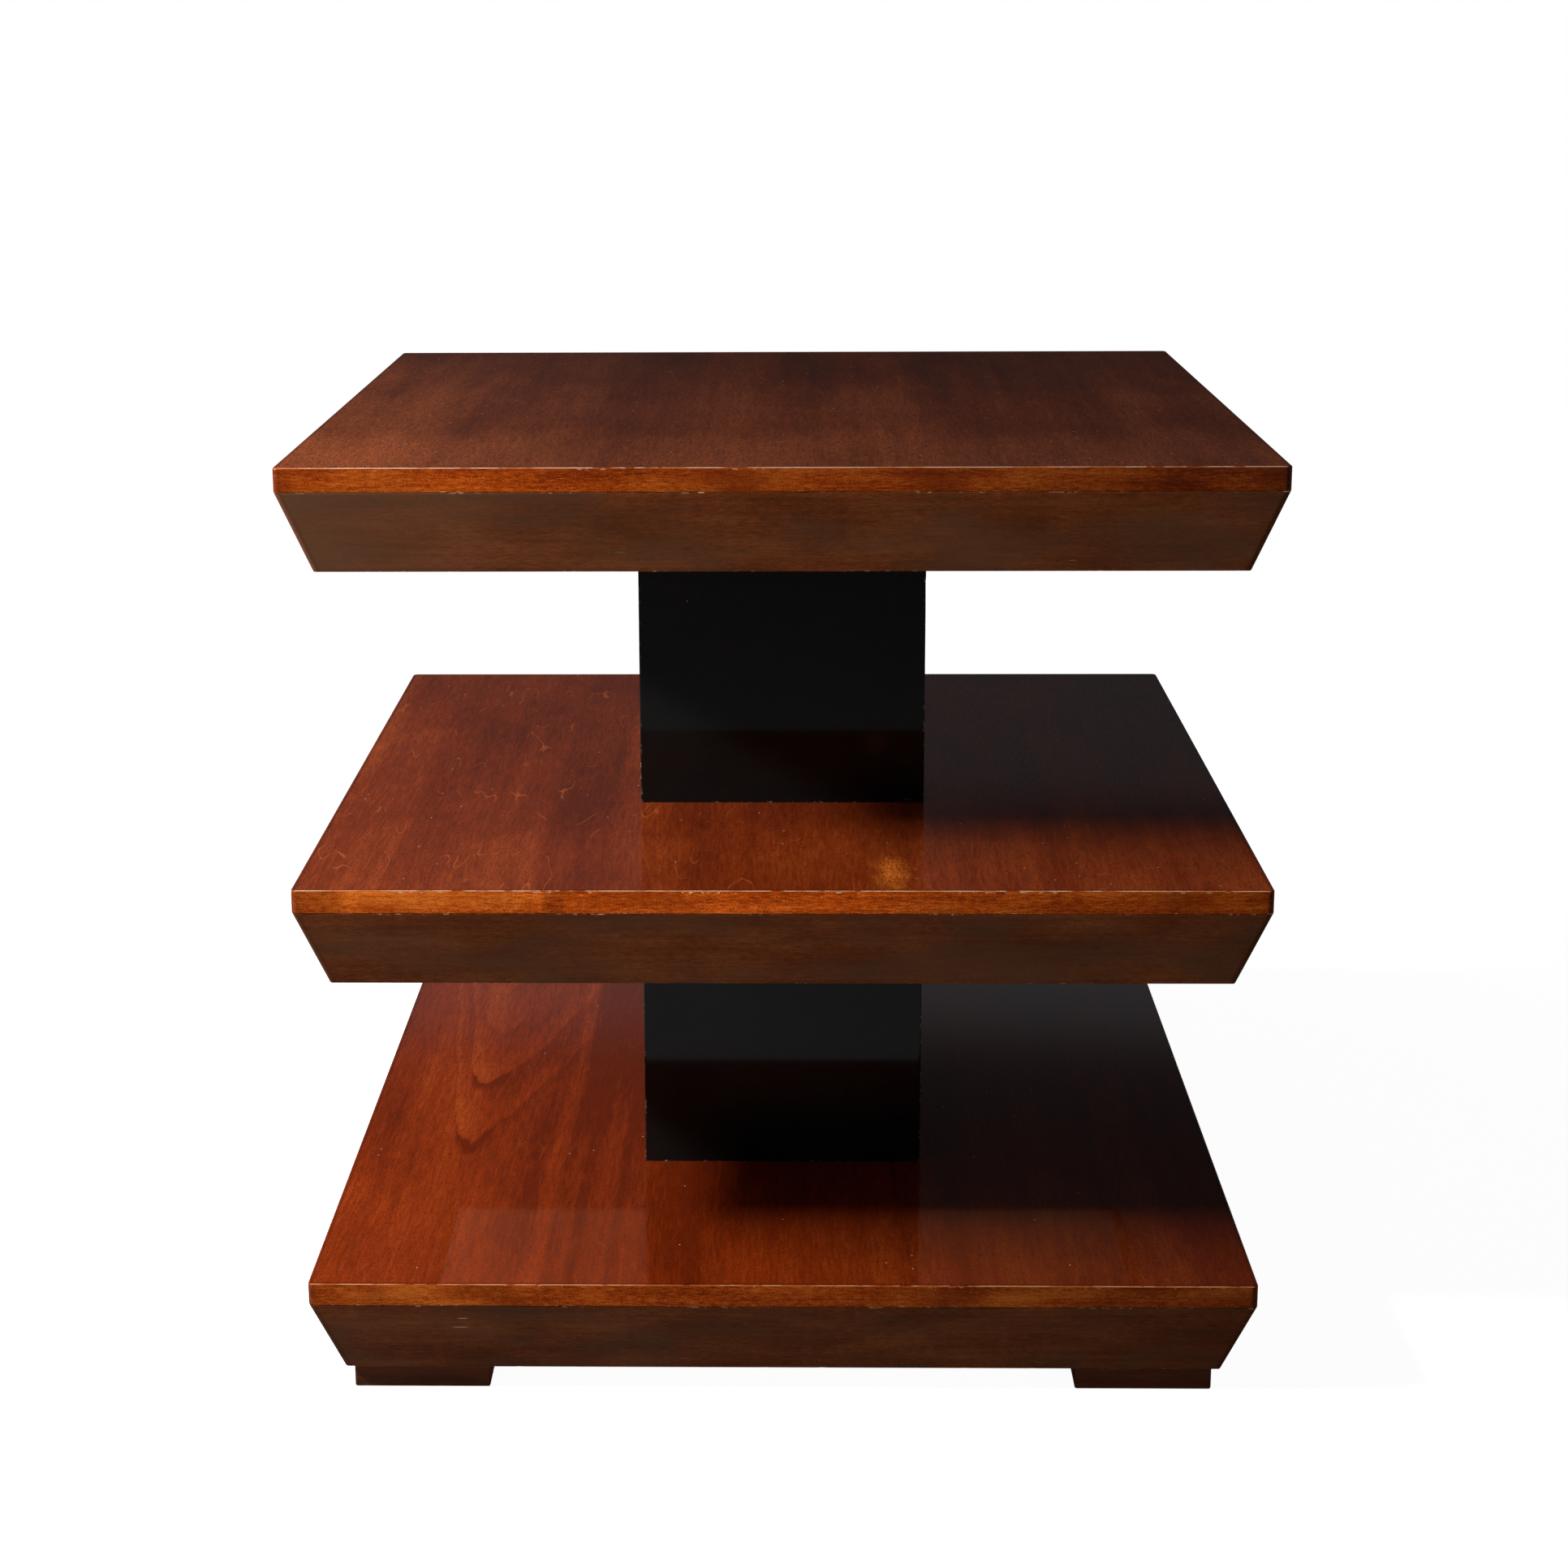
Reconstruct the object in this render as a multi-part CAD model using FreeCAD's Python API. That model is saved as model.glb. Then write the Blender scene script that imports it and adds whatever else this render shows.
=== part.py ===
import FreeCAD, Part

import math
import os

# Square side table of three tiers on a boxed column. Each tier is a hollow slab: a panel in
# mitred solid lippings under one sheet of face veneer, carried on four splayed apron boards with
# compound mitres and closed below by a soffit. Two column boxes space the tiers, and a tie rod
# down the middle draws the stack together. Four block feet are screwed up into the lowest tier.
# Millimetres, +Z up, +X right, -Y to the front. The origin is on the floor, under the column.

# Tiers
TIER_WIDTH = 610.0
TIER_DEPTH = 610.0
TIER_CORNER_RADIUS = 4.0
TIER_ARRIS_RADIUS = 1.2
VENEER_THICKNESS = 0.8
PANEL_THICKNESS = 14.2
LIPPING_WIDTH = 8.0
JOINT_EASE = 0.5
APRON_HEIGHT = 52.0
APRON_INSET = 19.0
APRON_THICKNESS = 16.0
APRON_ARRIS_RADIUS = 1.5
SOFFIT_THICKNESS = 6.0
SOFFIT_LEDGE = 8.0
SOFFIT_CLEARANCE = 0.25
CORNER_BLOCK_MARGIN = 50.0

# Column boxes
COLUMN_WIDTH = 195.0
COLUMN_DEPTH = 195.0
COLUMN_HEIGHT = 197.0
COLUMN_WALL = 18.0
COLUMN_ARRIS_RADIUS = 1.0
BATTEN_LEG = 24.0
PLUG_THICKNESS = 18.0
PLUG_CLEARANCE = 0.25

# Feet and their screws
FOOT_WIDTH = 89.0
FOOT_DEPTH = 89.0
FOOT_HEIGHT = 17.0
FOOT_SETBACK = 5.5
FOOT_ARRIS_RADIUS = 1.5
SCREW_SPACING = 40.0
SCREW_DIAMETER = 4.2
SCREW_HEAD_DIAMETER = 8.4
SCREW_LENGTH = 38.0
SCREW_POINT = 6.0
SCREW_RECESS = 2.0
SCREW_CLEARANCE = 0.15

# Tie rod and its fittings
ROD_DIAMETER = 10.0
ROD_HOLE_DIAMETER = 11.0
ROD_STICKOUT = 3.0
THREAD_CLEARANCE = 0.05
NUT_ACROSS_FLATS = 17.0
NUT_HEIGHT = 8.0
WASHER_DIAMETER = 30.0
WASHER_THICKNESS = 2.5
WASHER_HOLE_DIAMETER = 10.5
NUT_POCKET_DIAMETER = 34.0
NUT_POCKET_DEPTH = 20.0
TEE_FLANGE_DIAMETER = 22.0
TEE_FLANGE_THICKNESS = 2.0
TEE_BARREL_DIAMETER = 13.0
TEE_BARREL_LENGTH = 12.0
TEE_CLEARANCE = 0.05

# How far a cutting tool runs past the face that it cuts
OVERRUN = 5.0

# Heights worked out from the stack
TIER_HEIGHT = APRON_HEIGHT + PANEL_THICKNESS + VENEER_THICKNESS
TIER_PITCH = TIER_HEIGHT + COLUMN_HEIGHT
TIER_BASES = {
    "bottom_tier": FOOT_HEIGHT,
    "middle_tier": FOOT_HEIGHT + TIER_PITCH,
    "top_tier": FOOT_HEIGHT + TIER_PITCH + TIER_PITCH,
}
COLUMN_BASES = {
    "lower_column": TIER_BASES["bottom_tier"] + TIER_HEIGHT,
    "upper_column": TIER_BASES["middle_tier"] + TIER_HEIGHT,
}

# Half sizes of the splayed apron frame, in X and in Y
HALF_WIDTH = TIER_WIDTH / 2
HALF_DEPTH = TIER_DEPTH / 2
APRON_SLANT = math.atan2(APRON_INSET, APRON_HEIGHT)
APRON_LEVEL_THICKNESS = APRON_THICKNESS / math.cos(APRON_SLANT)
SOFFIT_INSET = APRON_INSET + APRON_LEVEL_THICKNESS - SOFFIT_LEDGE
MITRE_REACH = APRON_INSET + APRON_LEVEL_THICKNESS + OVERRUN

SIDES = ("front", "back", "left", "right")
CORNERS = {
    "front_left": (-1, -1),
    "front_right": (1, -1),
    "back_left": (-1, 1),
    "back_right": (1, 1),
}


def block(half_x, half_y, z_low, z_high):
    """A box centred on the Z axis."""
    corner = FreeCAD.Vector(-half_x, -half_y, z_low)
    return Part.makeBox(2 * half_x, 2 * half_y, z_high - z_low, corner)


def rod(diameter, z_low, z_high, x=0, y=0):
    """A plain upright cylinder."""
    return Part.makeCylinder(diameter / 2, z_high - z_low, FreeCAD.Vector(x, y, z_low))


def prism(points, z_low, z_high):
    """An upright prism on a plan outline of (x, y) points."""
    corners = [FreeCAD.Vector(x, y, z_low) for x, y in points]
    outline = Part.makePolygon(corners + corners[:1])
    return Part.Face(outline).extrude(FreeCAD.Vector(0, 0, z_high - z_low))


def rectangle(half_x, half_y, z):
    """A level rectangular wire centred on the Z axis."""
    signs = ((-1, -1), (1, -1), (1, 1), (-1, 1), (-1, -1))
    return Part.makePolygon([FreeCAD.Vector(sx * half_x, sy * half_y, z) for sx, sy in signs])


def splayed_block(inset_low, z_low, inset_high, z_high):
    """A four-sided block whose sides lean, given by its insets from the tier's outline."""
    low = rectangle(HALF_WIDTH - inset_low, HALF_DEPTH - inset_low, z_low)
    high = rectangle(HALF_WIDTH - inset_high, HALF_DEPTH - inset_high, z_high)
    return Part.makeLoft([low, high], True, True)


def rising_edges(shape):
    """The edges that are not level."""
    return [e for e in shape.Edges if e.BoundBox.ZLength > OVERRUN]


def level_edges(shape, z):
    """The edges that lie at one height."""
    near = TIER_ARRIS_RADIUS / 2
    return [e for e in shape.Edges if abs(e.BoundBox.ZMin - z) < near and abs(e.BoundBox.ZMax - z) < near]


def mitre_wedge(side, half_x, half_y, reach, z_low, z_high):
    """The plan region of one side of a frame, cut at 45 degrees through the frame's corners."""
    out_x = half_x + OVERRUN
    out_y = half_y + OVERRUN
    in_x = half_x - reach
    in_y = half_y - reach
    outlines = {
        "front": ((-out_x, -out_y), (out_x, -out_y), (in_x, -in_y), (-in_x, -in_y)),
        "back": ((-in_x, in_y), (in_x, in_y), (out_x, out_y), (-out_x, out_y)),
        "left": ((-out_x, -out_y), (-in_x, -in_y), (-in_x, in_y), (-out_x, out_y)),
        "right": ((in_x, -in_y), (out_x, -out_y), (out_x, out_y), (in_x, in_y)),
    }
    return prism(outlines[side], z_low - OVERRUN, z_high + OVERRUN)


def mitred_sides(frame, half_x, half_y, reach):
    """The four mitred boards of a rectangular frame, by side."""
    low = frame.BoundBox.ZMin
    high = frame.BoundBox.ZMax
    return {s: frame.common(mitre_wedge(s, half_x, half_y, reach, low, high)) for s in SIDES}


def upright_slab(base):
    """The rounded block that a tier's lippings, panel and veneer are parted from."""
    low = base + APRON_HEIGHT
    high = base + TIER_HEIGHT
    slab = block(HALF_WIDTH, HALF_DEPTH, low, high)
    slab = slab.makeFillet(TIER_CORNER_RADIUS, rising_edges(slab))
    slab = slab.makeFillet(TIER_ARRIS_RADIUS, level_edges(slab, high))
    return slab.makeFillet(JOINT_EASE, level_edges(slab, low))


def panel_blank(base):
    """The core panel inside the lippings."""
    low = base + APRON_HEIGHT
    return block(HALF_WIDTH - LIPPING_WIDTH, HALF_DEPTH - LIPPING_WIDTH, low, low + PANEL_THICKNESS)


def veneer_space(base):
    """The layer of a tier that its face veneer fills."""
    high = base + TIER_HEIGHT
    return block(HALF_WIDTH, HALF_DEPTH, high - VENEER_THICKNESS, high)


def lippings(base):
    """Four mitred solid strips round the edge of a tier's panel."""
    frame = upright_slab(base).cut(veneer_space(base)).cut(panel_blank(base))
    return mitred_sides(frame, HALF_WIDTH, HALF_DEPTH, LIPPING_WIDTH + OVERRUN)


def apron_cavity(base):
    """The space between a tier's four apron boards."""
    return splayed_block(
        APRON_INSET + APRON_LEVEL_THICKNESS, base, APRON_LEVEL_THICKNESS, base + APRON_HEIGHT
    )


def soffit_blank(base, clearance):
    """The soffit's outline, smaller all round by a clearance."""
    half_x = HALF_WIDTH - SOFFIT_INSET - clearance
    half_y = HALF_DEPTH - SOFFIT_INSET - clearance
    return block(half_x, half_y, base, base + SOFFIT_THICKNESS)


def aprons(base):
    """Four splayed boards with compound mitres, rebated below for the soffit."""
    body = splayed_block(APRON_INSET, base, 0, base + APRON_HEIGHT)
    body = body.makeFillet(TIER_CORNER_RADIUS, rising_edges(body))
    body = body.makeFillet(APRON_ARRIS_RADIUS, level_edges(body, base))
    body = body.makeFillet(JOINT_EASE, level_edges(body, base + APRON_HEIGHT))
    frame = body.cut(apron_cavity(base)).cut(soffit_blank(base, 0))
    return mitred_sides(frame, HALF_WIDTH, HALF_DEPTH, MITRE_REACH)


def foot_centre(signs):
    """The plan centre of one foot, set back from the apron's lower edge."""
    x = HALF_WIDTH - APRON_INSET - FOOT_SETBACK - FOOT_WIDTH / 2
    y = HALF_DEPTH - APRON_INSET - FOOT_SETBACK - FOOT_DEPTH / 2
    return signs[0] * x, signs[1] * y


def screw_places():
    """Two screws to a foot, side by side across the table's diagonal."""
    step = SCREW_SPACING / 2 * math.sqrt(0.5)
    places = []
    for signs in CORNERS.values():
        x, y = foot_centre(signs)
        places.append((x + signs[0] * step, y - signs[1] * step))
        places.append((x - signs[0] * step, y + signs[1] * step))
    return places


def screw_body(x, y, clearance):
    """A countersunk wood screw that points up, or the hole that it needs."""
    radius = SCREW_DIAMETER / 2 + clearance
    head = SCREW_HEAD_DIAMETER / 2 + clearance
    low = SCREW_RECESS
    high = SCREW_RECESS + SCREW_LENGTH + clearance
    profile = (
        (0, low),
        (head, low),
        (radius, low + head - radius),
        (radius, high - SCREW_POINT),
        (0, high),
    )
    points = [FreeCAD.Vector(x + r, y, z) for r, z in profile]
    outline = Part.makePolygon(points + points[:1])
    return Part.Face(outline).revolve(FreeCAD.Vector(x, y, 0), FreeCAD.Vector(0, 0, 1), 360)


def drilled_for_screws(shape):
    """A piece with the holes of every foot screw that passes through it."""
    box = shape.BoundBox
    for x, y in screw_places():
        if box.XMin < x < box.XMax and box.YMin < y < box.YMax:
            shape = shape.cut(screw_body(x, y, SCREW_CLEARANCE))
    return shape


def corner_blocks(base):
    """Four glue blocks, bevelled to bear on both aprons of their corner."""
    floor = base + SOFFIT_THICKNESS
    top = base + APRON_HEIGHT
    cavity = apron_cavity(base).common(block(HALF_WIDTH, HALF_DEPTH, floor, top))
    corner_x = HALF_WIDTH - APRON_LEVEL_THICKNESS
    corner_y = HALF_DEPTH - APRON_LEVEL_THICKNESS
    leg = max(FOOT_WIDTH, FOOT_DEPTH) + CORNER_BLOCK_MARGIN
    blocks = []
    for sx, sy in CORNERS.values():
        outline = (
            (sx * corner_x, sy * corner_y),
            (sx * (corner_x - leg), sy * corner_y),
            (sx * corner_x, sy * (corner_y - leg)),
        )
        blocks.append(cavity.common(prism(outline, floor, top)))
    return blocks


def centre_block(base):
    """The solid core under the column, bored for the tie rod."""
    floor = base + SOFFIT_THICKNESS
    top = base + APRON_HEIGHT
    core = block(COLUMN_WIDTH / 2, COLUMN_DEPTH / 2, floor, top)
    return core.cut(rod(ROD_HOLE_DIAMETER, floor - OVERRUN, top + OVERRUN))


def tier(name, base):
    """Every piece of one tier, by node name."""
    bore = rod(ROD_HOLE_DIAMETER, base - OVERRUN, base + TIER_HEIGHT + OVERRUN)
    nodes = {}
    veneer = upright_slab(base).common(veneer_space(base))
    panel = panel_blank(base)
    closed = name == "top_tier"
    nodes["veneer"] = veneer if closed else veneer.cut(bore)
    nodes["panel"] = panel if closed else panel.cut(bore)
    for side, strip in lippings(base).items():
        nodes["lipping_" + side] = strip
    for side, board in aprons(base).items():
        nodes["apron_" + side] = board
    soffit = soffit_blank(base, SOFFIT_CLEARANCE)
    core = centre_block(base)
    blocks = corner_blocks(base)
    if name == "bottom_tier":
        pocket = rod(NUT_POCKET_DIAMETER, base - OVERRUN, nut_seat())
        soffit = drilled_for_screws(soffit.cut(pocket))
        core = core.cut(pocket)
        blocks = [drilled_for_screws(b) for b in blocks]
    else:
        soffit = soffit.cut(bore)
    if closed:
        core = core.cut(tee_nut_seat())
    nodes["soffit"] = soffit
    nodes["centre_block"] = core
    nodes["corner_blocks"] = Part.makeCompound(blocks)
    return {name + "_" + piece: shape for piece, shape in nodes.items()}


def column(name, base):
    """Every piece of one column box, by node name."""
    top = base + COLUMN_HEIGHT
    half_x = COLUMN_WIDTH / 2
    half_y = COLUMN_DEPTH / 2
    shell = block(half_x, half_y, base, top)
    shell = shell.makeFillet(COLUMN_ARRIS_RADIUS, rising_edges(shell))
    in_x = half_x - COLUMN_WALL
    in_y = half_y - COLUMN_WALL
    frame = shell.cut(block(in_x, in_y, base - OVERRUN, top + OVERRUN))
    nodes = mitred_sides(frame, half_x, half_y, COLUMN_WALL + OVERRUN)
    battens = []
    for sx, sy in CORNERS.values():
        outline = (
            (sx * in_x, sy * in_y),
            (sx * (in_x - BATTEN_LEG), sy * in_y),
            (sx * in_x, sy * (in_y - BATTEN_LEG)),
        )
        battens.append(prism(outline, base + PLUG_THICKNESS, top - PLUG_THICKNESS))
    nodes["battens"] = Part.makeCompound(battens)
    bore = rod(ROD_HOLE_DIAMETER, base - OVERRUN, top + OVERRUN)
    plug_x = in_x - PLUG_CLEARANCE
    plug_y = in_y - PLUG_CLEARANCE
    bottom_plug = block(plug_x, plug_y, base, base + PLUG_THICKNESS)
    top_plug = block(plug_x, plug_y, top - PLUG_THICKNESS, top)
    nodes["plugs"] = Part.makeCompound([bottom_plug.cut(bore), top_plug.cut(bore)])
    return {name + "_" + piece: shape for piece, shape in nodes.items()}


def feet():
    """Four square block feet, drilled and countersunk for their screws."""
    nodes = {}
    for corner, signs in CORNERS.items():
        x, y = foot_centre(signs)
        foot = block(FOOT_WIDTH / 2, FOOT_DEPTH / 2, 0, FOOT_HEIGHT)
        outer_edges = rising_edges(foot) + level_edges(foot, 0)
        foot = foot.makeFillet(FOOT_ARRIS_RADIUS, outer_edges)
        foot.translate(FreeCAD.Vector(x, y, 0))
        foot = drilled_for_screws(foot)
        for place_x, place_y in screw_places():
            inside = abs(place_x - x) < FOOT_WIDTH / 2 and abs(place_y - y) < FOOT_DEPTH / 2
            if inside:
                mouth = SCREW_HEAD_DIAMETER + 2 * SCREW_CLEARANCE
                foot = foot.cut(rod(mouth, -OVERRUN, SCREW_RECESS, place_x, place_y))
        nodes["foot_" + corner] = foot
    screws = [screw_body(x, y, 0) for x, y in screw_places()]
    nodes["foot_screws"] = Part.makeCompound(screws)
    return nodes


def nut_seat():
    """Height of the face that the rod's washer bears on, inside the bottom tier."""
    return TIER_BASES["bottom_tier"] + SOFFIT_THICKNESS + NUT_POCKET_DEPTH


def tee_nut_top():
    """Height of the tee nut's upper face, flush with the top tier's core."""
    return TIER_BASES["top_tier"] + APRON_HEIGHT


def tee_nut_body(clearance):
    """The tee nut's flange and barrel without its bore."""
    top = tee_nut_top()
    under_flange = top - TEE_FLANGE_THICKNESS
    flange = rod(TEE_FLANGE_DIAMETER + 2 * clearance, under_flange, top)
    barrel = rod(TEE_BARREL_DIAMETER + 2 * clearance, under_flange - TEE_BARREL_LENGTH, under_flange)
    return flange.fuse(barrel).removeSplitter()


def tee_nut_seat():
    """The recess that the tee nut drops into."""
    return tee_nut_body(TEE_CLEARANCE)


def hexagon(across_flats):
    """The (x, y) corners of a hexagon."""
    radius = across_flats / math.sqrt(3)
    angles = [math.radians(60 * i) for i in range(6)]
    return [(radius * math.cos(a), radius * math.sin(a)) for a in angles]


def tie_rod():
    """The rod from the bottom tier's nut to the top tier's tee nut, with its fittings."""
    thread_bore = ROD_DIAMETER + 2 * THREAD_CLEARANCE
    seat = nut_seat()
    nut_top = seat - WASHER_THICKNESS
    nut_low = nut_top - NUT_HEIGHT
    low = nut_low - ROD_STICKOUT
    high = tee_nut_top() - TEE_FLANGE_THICKNESS
    bore = rod(thread_bore, low - OVERRUN, tee_nut_top() + OVERRUN)
    washer_hole = rod(WASHER_HOLE_DIAMETER, low, seat + OVERRUN)
    return {
        "tie_rod": rod(ROD_DIAMETER, low, high),
        "tie_rod_tee_nut": tee_nut_body(0).cut(bore),
        "tie_rod_washer": rod(WASHER_DIAMETER, nut_top, seat).cut(washer_hole),
        "tie_rod_nut": prism(hexagon(NUT_ACROSS_FLATS), nut_low, nut_top).cut(bore),
    }


def build():
    """Every node of the table, by name."""
    nodes = {}
    for name, base in TIER_BASES.items():
        nodes.update(tier(name, base))
    for name, base in COLUMN_BASES.items():
        nodes.update(column(name, base))
    nodes.update(feet())
    nodes.update(tie_rod())
    return nodes


os.makedirs("parts", exist_ok=True)
for node, shape in build().items():
    shape.exportStep("parts/" + node + ".step")
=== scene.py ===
"""Looks of a three-tier side table on black columns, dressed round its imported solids.

Lengths are metres in the table's own frame: X to the right, Y away from the viewer, Z up.
"""

import logging
import math
from dataclasses import dataclass, field
from enum import Enum
from typing import Any, Callable, Mapping, Optional, Sequence, Union

import bpy
from mathutils import Matrix, Vector


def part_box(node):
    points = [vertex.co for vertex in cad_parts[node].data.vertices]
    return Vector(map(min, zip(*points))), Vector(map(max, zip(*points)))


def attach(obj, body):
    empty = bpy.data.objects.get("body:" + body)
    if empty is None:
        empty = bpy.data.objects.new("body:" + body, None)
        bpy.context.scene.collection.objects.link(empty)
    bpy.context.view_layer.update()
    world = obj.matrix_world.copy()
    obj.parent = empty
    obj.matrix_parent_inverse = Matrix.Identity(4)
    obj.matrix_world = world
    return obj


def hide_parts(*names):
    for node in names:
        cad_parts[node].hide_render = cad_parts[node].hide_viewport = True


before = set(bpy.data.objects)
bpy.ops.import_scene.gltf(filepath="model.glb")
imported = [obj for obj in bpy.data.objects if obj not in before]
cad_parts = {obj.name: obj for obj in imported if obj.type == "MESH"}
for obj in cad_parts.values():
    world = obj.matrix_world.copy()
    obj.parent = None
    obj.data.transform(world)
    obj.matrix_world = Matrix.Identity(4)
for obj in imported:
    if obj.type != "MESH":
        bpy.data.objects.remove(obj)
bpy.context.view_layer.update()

log = logging.getLogger("side_table")

Pair = tuple[float, float]
Triple = tuple[float, float, float]
Colour = Triple
Number = Union["Flow", float]
Shade = Union["Flow", Colour]
Settings = Optional[Mapping[str, Any]]
Material = bpy.types.Material

BODY = "root"
WHITE: Colour = (1.0, 1.0, 1.0)
# Noise cycles per metre of height, so that each tier's face has a figure of its own.
TIER_APART = 37.0
# How far the figures of two neighbouring boards lie apart.
BOARD_APART = 1.7
# How far a board's number may be off to count as met, and from where on it is missed.
SAME_BOARD: Pair = (0.1, 0.4)
# Cycles per metre, octaves and weight of each layer of noise in bare timber.
TIMBER_LAYERS: Sequence[Triple] = ((6.0, 3.0, 0.45), (40.0, 3.0, 0.35), (220.0, 2.0, 0.2))
# Where a section's long side gets points, in reaches from its end, and how many reaches make it long.
SEAM_STEPS: Pair = (1.0, 1.8)
LONG_SIDE = 4.0


def operator(operation: str) -> Callable[..., "Flow"]:
    """Makes a method that adds a Math node with the flow and the method's arguments as inputs."""
    settings = {"operation": operation}
    return lambda *flows: flows[0].graph.node("ShaderNodeMath", settings, dict(enumerate(flows)))


@dataclass(eq=False)
class Flow:
    """One output of a node, with arithmetic that adds Math nodes to the same tree."""

    graph: "Graph"
    socket: bpy.types.NodeSocket

    __add__ = __radd__ = operator("ADD")
    __sub__ = operator("SUBTRACT")
    __mul__ = __rmul__ = operator("MULTIPLY")
    __truediv__ = operator("DIVIDE")
    __pow__ = operator("POWER")
    __abs__ = operator("ABSOLUTE")
    at_least = operator("MAXIMUM")
    at_most = operator("MINIMUM")
    under = operator("LESS_THAN")
    over = operator("GREATER_THAN")
    root = operator("SQRT")
    fraction = operator("FRACT")
    sine = operator("SINE")
    sign = operator("SIGN")

    def __rsub__(self, other: float) -> "Flow":
        """Difference from a number."""
        return (self * -1.0) + other

    def out(self, name: str) -> "Flow":
        """Another output of the same node, by its identifier or name."""
        return Flow(self.graph, pick(self.socket.node.outputs, name))


def pick(sockets: Sequence[bpy.types.NodeSocket], key: Union[str, int]) -> bpy.types.NodeSocket:
    """Finds a node's socket.

    Args:
        sockets: the node's inputs or outputs.
        key: an index, an identifier, or the name of an enabled socket.

    Returns:
        The socket.
    """
    if isinstance(key, int):
        return sockets[key]
    exact = [socket for socket in sockets if socket.identifier == key]
    return (exact or [socket for socket in sockets if socket.name == key and socket.enabled])[0]


def spaced(values: Mapping[str, Any]) -> dict[str, Any]:
    """Keyword arguments as sockets spell them, with spaces for underscores."""
    return {name.replace("_", " "): value for name, value in values.items()}


class Graph:
    """A node tree while it is written, for shaders and for geometry alike."""

    def __init__(self, tree: bpy.types.NodeTree) -> None:
        """Starts on the tree that receives the nodes."""
        self.tree = tree

    def node(
        self, kind: str, settings: Settings = None, inputs: Optional[Mapping[Union[str, int], Any]] = None
    ) -> Optional[Flow]:
        """Adds one node of any type.

        Args:
            kind: the node's type.
            settings: its properties, set first; "stops" fills a colour ramp.
            inputs: numbers or flows for its sockets.

        Returns:
            The first enabled output, or None for a node without one.
        """
        made = self.tree.nodes.new(kind)
        for name, value in (settings or {}).items():
            if name == "stops":
                self._fill_ramp(made.color_ramp, value)
            else:
                setattr(made, name, value)
        for key, value in (inputs or {}).items():
            socket = pick(made.inputs, key)
            if isinstance(value, Flow):
                self.tree.links.new(value.socket, socket)
            else:
                socket.default_value = value
        shown = [socket for socket in made.outputs if socket.enabled]
        return Flow(self, shown[0]) if shown else None

    def shade(self, kind: str, settings: Settings = None, **inputs: Any) -> Optional[Flow]:
        """Adds a shader node, by its type without the prefix."""
        return self.node("ShaderNode" + kind, settings, spaced(inputs))

    @staticmethod
    def _fill_ramp(ramp: bpy.types.ColorRamp, stops: Sequence[tuple[float, Colour]]) -> None:
        """Writes a colour ramp's stops.

        Args:
            ramp: the ramp of a new node, which has two stops.
            stops: position and colour of each stop, in order.
        """
        while len(ramp.elements) < len(stops):
            ramp.elements.new(1.0)
        for element, (position, colour) in zip(ramp.elements, stops):
            element.position = position
            element.color = (*colour, 1.0)

    def split(self, vector: Flow) -> tuple[Flow, Flow, Flow]:
        """The three parts of a vector."""
        parts = self.shade("SeparateXYZ", Vector=vector)
        return parts.out("X"), parts.out("Y"), parts.out("Z")

    def joined(self, x: Number, y: Number, z: Number) -> Flow:
        """A vector from three parts."""
        return self.shade("CombineXYZ", X=x, Y=y, Z=z)

    def noise(self, vector: Flow, factors: Triple, detail: float = 2.0, roughness: float = 0.5) -> Flow:
        """Smooth noise from 0 to 1.

        Args:
            vector: where to read it.
            factors: cycles per metre along each axis.
            detail: octaves above the first.
            roughness: weight of each octave against the one below.

        Returns:
            The noise.
        """
        spot = self.node("ShaderNodeVectorMath", {"operation": "MULTIPLY"}, {0: vector, 1: factors})
        return self.shade("TexNoise", Vector=spot, Scale=1.0, Detail=detail, Roughness=roughness)

    def step(self, value: Flow, low: float, high: float) -> Flow:
        """A soft step from 0 at low to 1 at high."""
        how = {"interpolation_type": "SMOOTHSTEP"}
        return self.shade("MapRange", how, Value=value, From_Min=low, From_Max=high)

    def fall(self, value: Flow, low: float, high: float) -> Flow:
        """A soft step from 1 at low to 0 at high."""
        return 1.0 - self.step(value, low, high)

    def strip(self, value: Flow, rise: Pair, drop: Pair) -> Flow:
        """One between a soft rise and a soft drop."""
        return self.step(value, *rise) * self.fall(value, *drop)

    def close(self, value: Flow, middle: float, full: float, none: float) -> Flow:
        """One up to a distance from a middle, and zero from a larger distance on."""
        return self.fall(abs(value - middle), full, none)

    def blots(self, vector: Flow, factors: Triple, limits: Pair, *octaves: float) -> Flow:
        """Irregular blots: one where noise has passed a soft limit, and zero elsewhere."""
        return self.step(self.noise(vector, factors, *octaves), *limits)


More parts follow.
